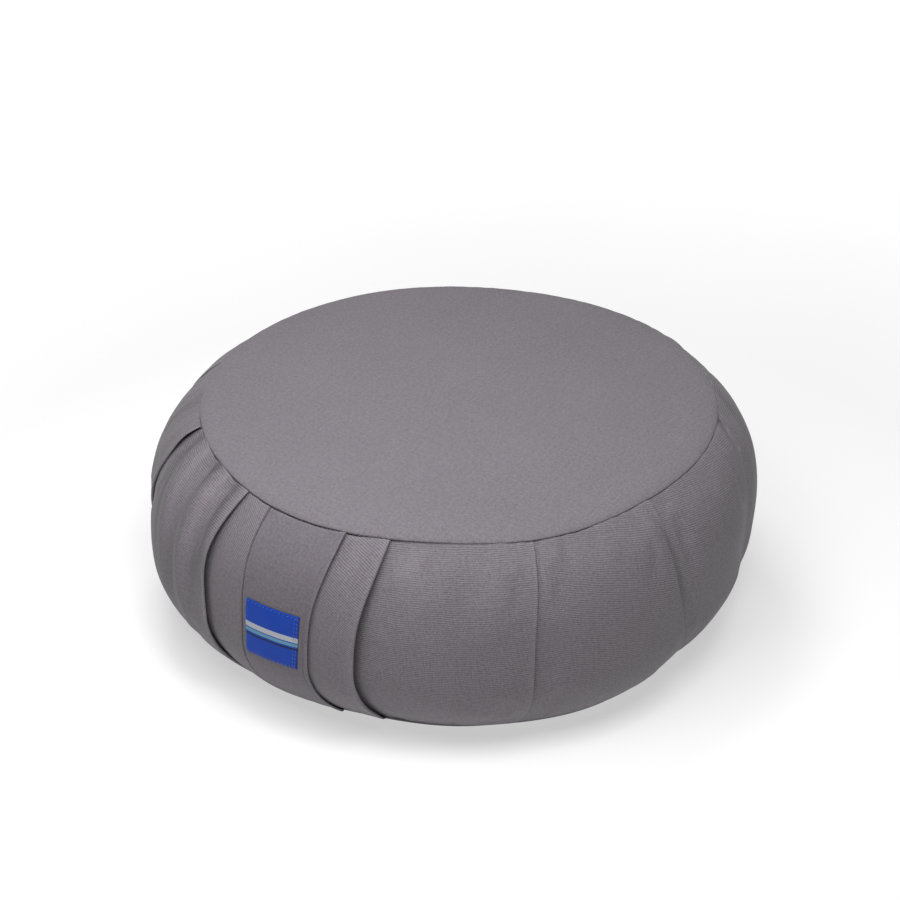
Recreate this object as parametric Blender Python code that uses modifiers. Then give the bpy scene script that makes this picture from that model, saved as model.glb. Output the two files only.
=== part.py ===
"""Zafu meditation cushion: a pleated round band between two round panels, with a placket and a label.

Metres, +Z up. The origin is on the floor under the middle of the cushion, and the label faces -Y.
An azimuth is in degrees, 0 at the label and growing anticlockwise as seen from above. A rise is a
height on the wall, from 0 at its foot to 1 at its top. An offset stands off the smooth wall.
"""

import math
from collections import namedtuple

import bmesh
import bpy
from mathutils import Vector

MM = 0.001

# Whole cushion
EQUATOR_RADIUS = 0.1987
EQUATOR_HEIGHT = 0.0577
TOP_SEAM_RADIUS = 0.1675
TOP_SEAM_HEIGHT = 0.1396
BOTTOM_SEAM_RADIUS = 0.170
BOTTOM_SEAM_HEIGHT = 0.005
UPPER_WALL_POWER = 3.6
LOWER_WALL_POWER = 1.86
TOP_LEAN = Vector((0.0052, 0.0034))
BOTTOM_LEAN = Vector((0.0020, 0.0013))

# Round panels
SHEET = 0.0020
GAP = 0.00035
CROWN = 0.0060
CROWN_POWER = 2.2
EDGE_ROLL = 0.0024
EDGE_ROLL_WIDTH = 0.014
FLAT_RADIUS = 0.150
BOTTOM_EDGE_WIDTH = 0.018

# The band stops short of the panels' edges and turns in under them
WALL_TOP = TOP_SEAM_HEIGHT - 0.0010
WALL_FOOT = BOTTOM_SEAM_HEIGHT + 0.0013
GROOVE_INSET = 0.0025
GROOVE_DEPTH = 0.0026

# Knife pleats
FOLD_DEPTH = 0.0095
LIP_THICKNESS = 0.0017
FOLD_MOUTH = 0.0009
STEP_AT_SEAM = 0.45
LIP_TURN = 0.4

# Label, its width round the wall and its reach above the floor
LABEL_WIDTH = 0.041
LABEL_LOW = 0.0550
LABEL_HIGH = 0.0928
LABEL_SHEET = 0.0010

# How finely the pieces are divided
WALL_ROWS = 17
CAP_COLUMNS = 48
PANEL_COLUMNS = 64
PLACKET_COLUMNS = 7
LABEL_STEPS = 6

# Where each fold's edge crosses the wall at its top, two heights between and its foot, how far its
# lip stands out, how far the cloth under it lies in, and how far that cloth then bulges
Pleat = namedtuple("Pleat", "top upper lower foot over_mm under_mm bulge_mm")
PLEATS = (
    Pleat(-46.1, -47.6, -47.2, -46.0, 2.0, -2.2, 1.2),
    Pleat(-16.7, -16.7, -13.9, -10.8, 2.2, -1.8, 0.0),
    Pleat(19.1, 16.9, 16.6, 19.3, 2.4, -2.8, 1.4),
    Pleat(47.9, 47.2, 47.7, 46.4, 1.6, -1.6, 1.6),
    Pleat(76.9, 76.8, 80.4, 83.5, 1.6, -1.6, 1.5),
    Pleat(112.5, 106.4, 106.0, 108.0, 1.2, -1.0, 1.3),
    Pleat(139.0, 137.2, 136.2, 137.5, 1.7, -1.7, 1.5),
    Pleat(165.4, 166.0, 167.2, 166.0, 1.9, -1.9, 1.2),
    Pleat(197.0, 195.8, 194.6, 196.4, 1.7, -1.7, 1.6),
    Pleat(224.1, 225.0, 226.4, 225.2, 1.8, -1.8, 1.4),
    Pleat(255.6, 254.4, 253.8, 255.0, 1.7, -1.7, 1.5),
    Pleat(283.6, 284.6, 285.8, 284.4, 1.9, -1.9, 1.3),
)
PLACKET_PLEAT = 1

# The two sides of the placket at the same four heights
Edge = namedtuple("Edge", "top upper lower foot")
PLACKET_LEFT = Edge(-9.4, -7.7, -7.0, -8.4)
PLACKET_RIGHT = Edge(9.9, 7.8, 7.9, 10.4)
PLACKET_STEP_BEFORE = 0.9
PLACKET_STEP_AFTER = 0.3

# How far the top seam and the belly wander out of round, in the order of azimuth
Wander = namedtuple("Wander", "azimuth out_mm")
TOP_SEAM_WANDER = (
    Wander(-67, 1.2),
    Wander(-31, -1.5),
    Wander(0, 1.5),
    Wander(27, -1.2),
    Wander(50, 2.2),
    Wander(78, -2.0),
    Wander(124, 1.4),
    Wander(160, 1.0),
    Wander(200, -2.6),
    Wander(240, 0.6),
)
BELLY_WANDER = (
    Wander(-80, -2.8),
    Wander(-50, 0.2),
    Wander(-20, 0.4),
    Wander(14, -1.0),
    Wander(66, 1.2),
    Wander(100, -0.4),
    Wander(118, 1.2),
    Wander(144, -2.6),
    Wander(190, 0.6),
    Wander(235, -0.6),
)
BOTTOM_SEAM_WANDER = (
    Wander(-60, 0.6),
    Wander(-12, 0.8),
    Wander(14, -4.4),
    Wander(38, -1.0),
    Wander(63, 3.0),
    Wander(90, -2.0),
    Wander(130, 0.8),
    Wander(180, -0.8),
    Wander(230, 1.0),
)

Finish = namedtuple("Finish", "colour roughness metallic")
COTTON = Finish((0.205, 0.190, 0.205, 1.0), 0.92, 0.0)
LABEL_WEAVE = Finish((0.020, 0.085, 0.420, 1.0), 0.70, 0.0)


def smooth(t):
    """An even ease from 0 to 1."""
    t = min(max(t, 0.0), 1.0)
    return t * t * (3.0 - 2.0 * t)


def at_rise(line, rise):
    """The azimuth of a fold or an edge at a rise, on a smooth curve through its four heights."""
    knots = (line.foot, line.lower, line.upper, line.top)
    place_on = min(max(rise, 0.0), 1.0) * (len(knots) - 1)
    k = min(int(place_on), len(knots) - 2)
    t = place_on - k
    start, end = knots[k], knots[k + 1]
    before = knots[k - 1] if k > 0 else 2.0 * start - end
    after = knots[k + 2] if k + 2 < len(knots) else 2.0 * end - start
    bend = 2.0 * before - 5.0 * start + 4.0 * end - after
    twist = 3.0 * (start - end) + after - before
    return start + 0.5 * t * (end - before + t * (bend + t * twist))


def wander(azimuth, table=TOP_SEAM_WANDER):
    """How far the top seam, or what another table holds, stands out of round at an azimuth."""
    first = table[0]
    azimuth = first.azimuth + (azimuth - first.azimuth) % 360.0
    ring = table + (Wander(first.azimuth + 360.0, first.out_mm),)
    low, high = next((a, b) for a, b in zip(ring, ring[1:]) if azimuth <= b.azimuth)
    share = smooth((azimuth - low.azimuth) / (high.azimuth - low.azimuth))
    return (low.out_mm + (high.out_mm - low.out_mm) * share) * MM


def rise_of(height):
    """The rise at a height above the floor."""
    return (height - WALL_FOOT) / (WALL_TOP - WALL_FOOT)


def wall_profile(rise):
    """The smooth wall's radius, its height and its outward normal as (radial, up)."""
    height = WALL_FOOT + (WALL_TOP - WALL_FOOT) * rise
    if height >= EQUATOR_HEIGHT:
        span = TOP_SEAM_HEIGHT - EQUATOR_HEIGHT
        inset = EQUATOR_RADIUS - TOP_SEAM_RADIUS
        power = UPPER_WALL_POWER
    else:
        span = BOTTOM_SEAM_HEIGHT - EQUATOR_HEIGHT
        inset = EQUATOR_RADIUS - BOTTOM_SEAM_RADIUS
        power = LOWER_WALL_POWER
    part = max((height - EQUATOR_HEIGHT) / span, 0.0)
    slope = -inset * power * part ** (power - 1.0) / span
    return EQUATOR_RADIUS - inset * part**power, height, Vector((1.0, -slope)).normalized()


def above_equator(height):
    """How far up from the equator to the top seam a height is, from 0 to 1."""
    return min(max((height - EQUATOR_HEIGHT) / (TOP_SEAM_HEIGHT - EQUATOR_HEIGHT), 0.0), 1.0)


def place(azimuth, radius, height):
    """A point of the cushion, whose top and bottom have shifted a little off the middle."""
    turn = math.radians(azimuth)
    below = min(max(1.0 - height / EQUATOR_HEIGHT, 0.0), 1.0)
    shift = TOP_LEAN * above_equator(height) + BOTTOM_LEAN * below
    return Vector((shift.x + radius * math.sin(turn), shift.y - radius * math.cos(turn), height))


def wall_point(azimuth, rise, offset):
    """A point that stands off the smooth wall."""
    radius, height, normal = wall_profile(rise)
    seam_share = smooth(above_equator(height))
    belly_share = (1.0 - seam_share) * smooth(height / EQUATOR_HEIGHT)
    foot_share = 1.0 - smooth(height / EQUATOR_HEIGHT)
    radius += seam_share * wander(azimuth) + belly_share * wander(azimuth, BELLY_WANDER)
    radius += foot_share * wander(azimuth, BOTTOM_SEAM_WANDER)
    return place(azimuth, radius + offset * normal.x, height + offset * normal.y)


def step_share(rise):
    """A fold stands out most at half height and is sewn nearly flat in the seams."""
    swell = math.sin(math.pi * min(max(rise, 0.0), 1.0)) ** 0.6
    return STEP_AT_SEAM + (1.0 - STEP_AT_SEAM) * swell


def panel_span(k, rise):
    """The azimuths between which one pleat's panel shows."""
    wrap = 360.0 if k + 1 == len(PLEATS) else 0.0
    return at_rise(PLEATS[k], rise), at_rise(PLEATS[(k + 1) % len(PLEATS)], rise) + wrap


def panel_offset(k, rise, azimuth):
    """How far a pleat's panel stands off the smooth wall, from under one lip out to its own."""
    start, end = panel_span(k, rise)
    part = (azimuth - start) / (end - start)
    share = step_share(rise) * MM
    low = PLEATS[k].under_mm * share
    high = PLEATS[(k + 1) % len(PLEATS)].over_mm * share
    bulge = PLEATS[k].bulge_mm * MM * math.sin(math.pi * min(max(rise, 0.0), 1.0))
    return low + (high - low) * part + 4.0 * bulge * part * (1.0 - part)


def placket_recess(rise, azimuth):
    """How much lower the band lies under the placket; past it, the band eases out to the next lip."""
    right, lip = at_rise(PLACKET_RIGHT, rise), panel_span(PLACKET_PLEAT, rise)[1]
    into = azimuth - at_rise(PLACKET_LEFT, rise) + PLACKET_STEP_BEFORE
    covered = smooth(into / (PLACKET_STEP_BEFORE - PLACKET_STEP_AFTER))
    return (SHEET + GAP) * covered * (1.0 - smooth((azimuth - right) / (lip - right)))


def panel_stations(k, rise):
    """The azimuths at which a panel is divided, closest together beside its folds."""
    start, end = panel_span(k, rise)
    if k != PLACKET_PLEAT:
        shares = (0.0, 0.06, 0.18, 0.35, 0.52, 0.70, 0.86, 0.95)
        return [start + (end - start) * share for share in shares] + [end - LIP_TURN]
    left, right = at_rise(PLACKET_LEFT, rise), at_rise(PLACKET_RIGHT, rise)
    stations = [start, 0.5 * (start + left), left - PLACKET_STEP_BEFORE, left - PLACKET_STEP_AFTER]
    stations += [left + (right - left) * share for share in (0.33, 0.67, 1.0)]
    return stations + [0.5 * (right + end), end - LIP_TURN]


def band_columns(k, rise):
    """One pleat of the band at one rise, as (azimuth, offset) pairs.

    It runs from the root of the fold before it, over the panel that shows, round its own lip and
    back under it to the next root.
    """

    def surface(azimuth):
        recess = placket_recess(rise, azimuth) if k == PLACKET_PLEAT else 0.0
        return panel_offset(k, rise, azimuth) - recess

    start, end = panel_span(k, rise)
    share = step_share(rise)
    depth = math.degrees(FOLD_DEPTH / wall_profile(rise)[0])
    lip = surface(end)
    underside = lip - LIP_THICKNESS * share
    root = min(PLEATS[(k + 1) % len(PLEATS)].under_mm * MM * share + FOLD_MOUTH, underside)
    columns = [(start - depth, PLEATS[k].under_mm * MM * share)]
    columns += [(azimuth, surface(azimuth)) for azimuth in panel_stations(k, rise)]
    columns += [(end, 0.5 * (lip + underside)), (end - LIP_TURN, underside), (end - depth, root)]
    return columns


def top_edge(azimuth):
    """The top panel's radius at an azimuth."""
    return TOP_SEAM_RADIUS + wander(azimuth)


def bottom_edge(azimuth):
    """The bottom panel's radius at an azimuth."""
    return BOTTOM_SEAM_RADIUS + wander(azimuth, BOTTOM_SEAM_WANDER)


def panel_top(azimuth, radius):
    """The height of the top panel's outer face."""
    edge = top_edge(azimuth)
    into_roll = max(radius - (edge - EDGE_ROLL_WIDTH), 0.0) / EDGE_ROLL_WIDTH
    roll = EDGE_ROLL * math.sqrt(max(1.0 - into_roll**2, 0.0))
    return TOP_SEAM_HEIGHT + CROWN * (1.0 - min(radius / edge, 1.0) ** CROWN_POWER) + roll


def panel_bottom(azimuth, radius):
    """The height of the bottom panel's outer face: flat on the floor, then up into its seam."""
    edge = bottom_edge(azimuth)
    return BOTTOM_SEAM_HEIGHT * (max(radius - FLAT_RADIUS, 0.0) / (edge - FLAT_RADIUS)) ** 2


def even_ring(count, radius, height):
    """Points evenly round the cushion, whose radius and height may change with the azimuth."""
    azimuths = [360.0 * i / count for i in range(count)]
    return [place(a, radius(a), height(a, radius(a))) for a in azimuths]


def add_rows(bm, rings, closed):
    """Adds rings of points and the faces between them, which face left of the way they follow."""
    rows = [[bm.verts.new(point) for point in ring] for ring in rings]
    for row, after in zip(rows, rows[1:]):
        for i in range(len(row) if closed else len(row) - 1):
            j = (i + 1) % len(row)
            bm.faces.new((row[i], row[j], after[j], after[i]))
    return rows


def add_fan(bm, row, point):
    """Closes a ring with triangles to one point."""
    pole = bm.verts.new(point)
    for i, vert in enumerate(row):
        bm.faces.new((vert, row[(i + 1) % len(row)], pole))


def fill_between(bm, folded, even):
    """Fills the flat strip between a folded ring and the even ring inside it."""
    loops = [bm.edges.get((row[i - 1], row[i])) for row in (folded, even) for i in range(len(row))]
    bmesh.ops.triangle_fill(bm, edges=loops, use_beauty=True, normal=(0.0, 0.0, 1.0))


def make_object(name, bm, finish):
    """Makes an object with its material from a finished bmesh."""
    mesh = bpy.data.meshes.new(name)
    bm.to_mesh(mesh)
    bm.free()
    mesh.shade_smooth()
    material = bpy.data.materials.new(name)
    material.use_nodes = True
    shader = material.node_tree.nodes["Principled BSDF"]
    shader.inputs["Base Color"].default_value = finish.colour
    shader.inputs["Roughness"].default_value = finish.roughness
    shader.inputs["Metallic"].default_value = finish.metallic
    mesh.materials.append(material)
    return bpy.data.objects.new(name, mesh)


def thicken(piece, thickness):
    """Gives an open surface its thickness, inward from the face that shows."""
    wall = piece.modifiers.new("thickness", "SOLIDIFY")
    wall.thickness = thickness
    wall.offset = -1.0
    return piece


def make_side_band():
    """The pleated band and what it holds, one closed body between the two panels."""
    bm = bmesh.new()
    rises = [(1.0 - math.cos(math.pi * i / (WALL_ROWS - 1))) / 2.0 for i in range(WALL_ROWS)]
    rings = []
    for rise in rises:
        columns = [column for k in range(len(PLEATS)) for column in band_columns(k, rise)]
        rings.append([wall_point(azimuth, rise, offset) for azimuth, offset in columns])
    wall = add_rows(bm, rings, True)

    under_top = SHEET + 2.0 * GAP
    groove = TOP_SEAM_HEIGHT - GROOVE_DEPTH
    cap = [even_ring(CAP_COLUMNS, lambda a: top_edge(a) - GROOVE_INSET, lambda a, r: groove)]
    for radius in (TOP_SEAM_RADIUS - EDGE_ROLL_WIDTH, 0.55 * TOP_SEAM_RADIUS):
        cap.append(even_ring(CAP_COLUMNS, lambda a: radius, lambda a, r: panel_top(a, r) - under_top))
    top = add_rows(bm, cap, True)
    add_fan(bm, top[-1], place(0.0, 0.0, panel_top(0.0, 0.0) - under_top))
    fill_between(bm, wall[-1], top[0])

    floor = SHEET + GAP
    groove = BOTTOM_SEAM_HEIGHT + GROOVE_DEPTH
    cap = [even_ring(CAP_COLUMNS, lambda a: bottom_edge(a) - GROOVE_INSET, lambda a, r: groove)]
    cap.append(even_ring(CAP_COLUMNS, lambda a: FLAT_RADIUS, lambda a, r: floor))
    bottom = add_rows(bm, cap, True)
    add_fan(bm, bottom[-1], place(0.0, 0.0, floor))
    fill_between(bm, wall[0], bottom[0])
    bmesh.ops.recalc_face_normals(bm, faces=bm.faces)
    return make_object("side_band", bm, COTTON)


def make_round_panel(name, edge, edge_width, height, faces_up):
    """A round of cloth whose rings lie closest together where it turns into the seam."""
    rings = [
        even_ring(PANEL_COLUMNS, lambda a: edge(a) - back * edge_width, height)
        for back in (0.0, 0.06, 0.2, 0.5, 1.0)
    ]
    rings += [even_ring(PANEL_COLUMNS, lambda a: share * edge(a), height) for share in (0.72, 0.40)]
    bm = bmesh.new()
    rows = add_rows(bm, rings, True)
    add_fan(bm, rows[-1], place(0.0, 0.0, height(0.0, 0.0)))
    if not faces_up:
        bmesh.ops.reverse_faces(bm, faces=bm.faces)
    return thicken(make_object(name, bm, COTTON), SHEET)


def make_placket():
    """The strip that covers the band's closure, from seam to seam."""
    rings = []
    for i in range(WALL_ROWS):
        rise = i / (WALL_ROWS - 1)
        left, right = at_rise(PLACKET_LEFT, rise), at_rise(PLACKET_RIGHT, rise)
        azimuths = [left + (right - left) * j / PLACKET_COLUMNS for j in range(PLACKET_COLUMNS + 1)]
        rings.append([wall_point(a, rise, panel_offset(PLACKET_PLEAT, rise, a)) for a in azimuths])
    bm = bmesh.new()
    add_rows(bm, rings, False)
    return thicken(make_object("placket", bm, COTTON), SHEET)


def make_label():
    """The woven patch on the placket."""
    rings = []
    half = math.degrees(0.5 * LABEL_WIDTH / EQUATOR_RADIUS)
    for i in range(LABEL_STEPS + 1):
        rise = rise_of(LABEL_LOW + (LABEL_HIGH - LABEL_LOW) * i / LABEL_STEPS)
        azimuths = [half * (2.0 * j / LABEL_STEPS - 1.0) for j in range(LABEL_STEPS + 1)]
        stand = LABEL_SHEET + GAP
        rings.append([wall_point(a, rise, panel_offset(PLACKET_PLEAT, rise, a) + stand) for a in azimuths])
    bm = bmesh.new()
    add_rows(bm, rings, False)
    return thicken(make_object("label", bm, LABEL_WEAVE), LABEL_SHEET)


def main():
    """Builds the cushion's pieces in a collection of their own."""
    for old in list(bpy.data.objects):
        bpy.data.objects.remove(old, do_unlink=True)
    cushion = bpy.data.collections.new("zafu_cushion")
    bpy.context.scene.collection.children.link(cushion)
    pieces = [
        make_side_band(),
        make_round_panel("top_panel", top_edge, EDGE_ROLL_WIDTH, panel_top, True),
        make_round_panel("bottom_panel", bottom_edge, BOTTOM_EDGE_WIDTH, panel_bottom, False),
        make_placket(),
        make_label(),
    ]
    for piece in pieces:
        cushion.objects.link(piece)


main()
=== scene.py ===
"""The looks of a zafu: a pleated band of cotton twill between two round panels, a placket, a label.

Metres, +Z up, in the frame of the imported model. An azimuth is in degrees, 0 at the label and
growing anticlockwise as seen from above. A rise is a height on the wall, from 0 at its foot to 1 at
its top. An offset stands off the smooth wall, outwards.
"""

import logging
import math
from dataclasses import dataclass, field
from enum import Enum
from typing import Callable, NamedTuple, Sequence

import bmesh
import bpy
import numpy as np
from mathutils import Matrix, Vector

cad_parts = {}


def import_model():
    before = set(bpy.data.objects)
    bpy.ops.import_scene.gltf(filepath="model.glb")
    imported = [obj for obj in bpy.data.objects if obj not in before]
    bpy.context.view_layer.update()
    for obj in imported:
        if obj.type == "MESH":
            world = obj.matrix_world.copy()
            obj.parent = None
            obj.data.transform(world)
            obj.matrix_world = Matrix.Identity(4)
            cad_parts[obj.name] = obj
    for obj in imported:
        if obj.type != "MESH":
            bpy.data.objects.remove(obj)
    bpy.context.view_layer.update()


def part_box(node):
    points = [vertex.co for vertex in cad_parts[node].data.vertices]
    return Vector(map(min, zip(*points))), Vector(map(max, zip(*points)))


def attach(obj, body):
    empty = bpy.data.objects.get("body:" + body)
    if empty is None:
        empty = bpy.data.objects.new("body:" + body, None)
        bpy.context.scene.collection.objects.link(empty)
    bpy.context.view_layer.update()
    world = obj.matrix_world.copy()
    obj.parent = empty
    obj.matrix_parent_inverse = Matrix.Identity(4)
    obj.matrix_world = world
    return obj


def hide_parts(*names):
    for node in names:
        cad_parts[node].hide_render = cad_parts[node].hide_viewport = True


LOG = logging.getLogger("zafu")
MM = 0.001
WEAVE_MAP = "weave"
# Paler cloth on folded edges, partly from rubbing and partly a painted highlight, and painted shade inside
# the folds.
WEAR_AND_PAINTED_SHADE = "wear_and_painted_shade"
# Painted shade and painted light along the wall's creases and fold lines.
PAINTED_CREASE_SHADING = "painted_crease_shading"


class Side(Enum):
    """Which way a round panel faces."""

    UP = 1.0
    DOWN = -1.0


class Lay(Enum):
    """How far the twill's ribs are turned from level, in degrees."""

    LEVEL = 0.0
    FALLING = -15.0
    UPRIGHT = 88.0


# Curves and colours


def smooth(t: np.ndarray | float) -> np.ndarray:
    """An even ease from 0 to 1."""
    t = np.clip(t, 0.0, 1.0)
    return t * t * (3.0 - 2.0 * t)


def hump(away: np.ndarray | float) -> np.ndarray:
    """A bell that is 1 at 0 and about a third at 1."""
    return np.exp(-(away**2))


def crowded(count: int, share: float) -> np.ndarray:
    """Values from 0 to 1 that crowd at both ends, more so with a greater share."""
    even = np.linspace(0.0, 1.0, count)
    return (1.0 - share) * even + share * (0.5 - 0.5 * np.cos(np.pi * even))


def rgba(colour: Sequence[float], times: float = 1.0) -> tuple[float, ...]:
    """A colour, made darker or lighter, with its alpha."""
    return tuple(times * part for part in colour) + (1.0,)


# Shader maths


class Value:
    """A socket that Python's operators work on, each adding its own Math node."""

    def __init__(self, graph: "Graph", socket: bpy.types.NodeSocket) -> None:
        """Wraps a node's output.

        Args:
            graph: The material's nodes.
            socket: The output.
        """
        self.graph = graph
        self.socket = socket

    def maths(self, operation: str, *others: "Value | float", clamp: bool = False) -> "Value":
        """Adds a Math node on this value.

        Args:
            operation: The node's operation.
            others: Its further inputs.
            clamp: Whether the result is kept from 0 to 1.

        Returns:
            The node's result.
        """
        settings = {"operation": operation, "use_clamp": clamp}
        inputs = dict(enumerate((self, *others)))
        return self.graph.node("ShaderNodeMath", settings, inputs, 0)

    def __add__(self, other: "Value | float") -> "Value":
        """Adds."""
        return self.maths("ADD", other)

    def __mul__(self, other: "Value | float") -> "Value":
        """Multiplies."""
        return self.maths("MULTIPLY", other)

    def __sub__(self, other: "Value | float") -> "Value":
        """Takes away."""
        return self.maths("SUBTRACT", other)

    def __truediv__(self, other: "Value | float") -> "Value":
        """Divides."""
        return self.maths("DIVIDE", other)

    def __rsub__(self, other: float) -> "Value":
        """Takes this value from a number."""
        return (self * -1.0).maths("ADD", other)

    __radd__ = __add__
    __rmul__ = __mul__

    def wave(self) -> "Value":
        """A smooth wave from 0 to 1 that repeats each time the value grows by 1."""
        return (self * (2.0 * math.pi)).maths("SINE") * 0.5 + 0.5

    def within(self, low: float, high: float, soft: float) -> "Value":
        """A band that is 1 between two values and 0 outside.

        Args:
            low: Where the band starts.
            high: Where it ends.
            soft: How wide each of its edges is.

        Returns:
            The mask.
        """
        rising = ((self - (low - 0.5 * soft)) / soft).maths("ADD", 0.0, clamp=True)
        falling = ((self - (high - 0.5 * soft)) / soft).maths("ADD", 0.0, clamp=True)
        return rising - falling


class Graph:
    """The nodes of one material, with its Principled shader."""

    def __init__(self, name: str) -> None:
        """Starts a material.

        Args:
            name: The material's name.
        """
        self.material = bpy.data.materials.new(name)
        self.material.use_nodes = True
        self.tree = self.material.node_tree
        self.shader = self.tree.nodes["Principled BSDF"]

    def put(self, socket: bpy.types.NodeSocket, value: object) -> None:
        """Links a Value to a socket, or sets the socket to a plain value.

        Args:
            socket: The input of a node.
            value: The Value to link or the plain value to set.
        """
        if isinstance(value, Value):
            self.tree.links.new(value.socket, socket)
        else:
            socket.default_value = value

    def node(self, kind: str, settings: dict, inputs: dict, output: int | str) -> Value:
        """Adds a node.

        Args:
            kind: The node's type.
            settings: Its properties, which are set first.
            inputs: Values or links by the name or place of the input.
            output: The name or place of the output.

        Returns:
            That output.
        """
        made = self.tree.nodes.new(kind)
        for name, value in settings.items():
            setattr(made, name, value)
        for name, value in inputs.items():
            self.put(made.inputs[name], value)
        return Value(self, made.outputs[output])

    def finish(self, name: str, value: object) -> None:
        """Sets or links one of the shader's inputs."""
        self.put(self.shader.inputs[name], value)

    def noise(
        self, place: Value, scale: float, detail: float = 2.0, stretch: Sequence[float] = (1, 1, 1)
    ) -> Value:
        """Even noise from 0 to 1.

        Args:
            place: The coordinates, in metres.
            scale: How many patches there are to a metre.
            detail: How much finer noise is added.
            stretch: How much closer together the patches are along each axis.

        Returns:
            The noise.
        """
        mapped = self.node("ShaderNodeMapping", {}, {"Vector": place, "Scale": tuple(stretch)}, 0)
        inputs = {"Vector": mapped, "Scale": scale, "Detail": detail, "Roughness": 0.55}
        return self.node("ShaderNodeTexNoise", {"noise_dimensions": "2D"}, inputs, 0)

    def weave_place(self) -> tuple[Value, Value, Value]:
        """Reads the cloth's own coordinates in metres.

        Returns:
            The coordinates whole, across the cloth and along it.
        """
        uv = self.node("ShaderNodeUVMap", {"uv_map": WEAVE_MAP}, {}, 0)
        across = self.node("ShaderNodeSeparateXYZ", {}, {0: uv}, "X")
        along = self.node("ShaderNodeSeparateXYZ", {}, {0: uv}, "Y")
        return uv, across, along

    def blend(self, share: Value | float, first: object, second: object) -> Value:
        """Mixes two colours by a share from 0 to 1."""
        return self.node("ShaderNodeMix", {"data_type": "RGBA"}, {0: share, 6: first, 7: second}, 2)

    def cloth_colour(self, tone: Value, dark: object, light: object) -> None:
        """Colours the surface between two colours by a tone, which is kept from 0 to 1."""
        self.finish("Base Color", self.blend(tone.maths("ADD", 0.0, clamp=True), dark, light))

    def relief(self, height: Value, depth: float) -> None:
        """Raises the surface by a height from 0 to 1, times a depth in metres."""
        inputs = {"Height": height, "Distance": depth, "Strength": 1.0}
        self.finish("Normal", self.node("ShaderNodeBump", {}, inputs, 0))


# Finishes


@dataclass(frozen=True)
class CottonTwill:
    """Grey cotton twill, with its ribs, yarns and slubs, its folded edges paler from rubbing and as a
    painted highlight, and painted shade in its folds and painted shade and light along its creases.
    """

    name: str
    colour: tuple[float, float, float] = (0.168, 0.1545, 0.1715)
    lay: Lay = Lay.FALLING
    rib_pitch: float = 1.15 * MM
    yarn_share: float = 0.62
    rib_contrast: float = 0.12
    grain_contrast: float = 0.60
    fleck_contrast: float = 0.45
    slub_contrast: float = 0.16
    cloud_contrast: float = 0.10
    # How much the edge mark lightens rubbed and highlighted edges and darkens the painted shade in the
    # folds.
    wear_and_shade_contrast: float = 0.22
    colour_range: float = 0.5
    relief_depth: float = 0.10 * MM

    def material(self) -> bpy.types.Material:
        """Builds the finish.

        Returns:
            The material.
        """
        graph = Graph(self.name)
        place, across, along = graph.weave_place()
        turn = math.radians(self.lay.value)
        drift = graph.noise(place, 90.0, 1.0)
        level = along * math.cos(turn) - across * math.sin(turn)
        beside = across * math.cos(turn) + along * math.sin(turn)
        rib = (level / self.rib_pitch + drift * 0.9).wave()
        yarn = (beside / (self.yarn_share * self.rib_pitch) + drift * 0.7).wave()
        grain = graph.noise(place, 1300.0, 2.0)
        fleck = graph.noise(place, 520.0, 1.0)
        slub = graph.noise(place, 55.0, 2.0, (1.0, 14.0, 1.0))
        stripe = graph.noise(place, 48.0, 2.0, (13.0, 1.0, 1.0))
        cloud = graph.noise(place, 14.0, 3.0)
        # The edge mark pales rubbed edges, paints a highlight on fold lips and paints shade in the folds;
        # the fold mark is painted crease shade and light.
        wear_and_shade, fold = (
            graph.node("ShaderNodeAttribute", {"attribute_name": mark}, {}, "Fac")
            for mark in (WEAR_AND_PAINTED_SHADE, PAINTED_CREASE_SHADING)
        )
        # The fold term adds the painted shade and light of the creases.
        tone = (rib - 0.5) * self.rib_contrast + (yarn - 0.5) * (0.5 * self.rib_contrast) + fold
        tone = tone + (grain - 0.5) * self.grain_contrast + (fleck - 0.5) * self.fleck_contrast
        tone = tone + (slub + stripe - 1.0) * self.slub_contrast + (cloud - 0.5) * self.cloud_contrast
        tone = tone + wear_and_shade * self.wear_and_shade_contrast + 0.5
        dark, light = (rgba(self.colour, 1.0 + way * self.colour_range) for way in (-1.0, 1.0))
        graph.cloth_colour(tone, dark, light)
        graph.finish("Roughness", grain * 0.10 + 0.85)
        graph.relief(rib * 0.35 + yarn * 0.25 + grain * 0.7 + slub * 0.25, self.relief_depth)
        graph.finish("Sheen Weight", 0.10)
        graph.finish("Sheen Roughness", 0.45)
        graph.finish("Specular IOR Level", 0.25)
        return graph.material


class Stripe(NamedTuple):
    """A level stripe of the label, between two distances above its middle."""

    low_mm: float
    high_mm: float
    colour: tuple[float, ...]


WHITE = rgba((0.50, 0.53, 0.57))
PALE_BLUE = rgba((0.14, 0.34, 0.50))
BLACK = rgba((0.012, 0.013, 0.018))


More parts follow.
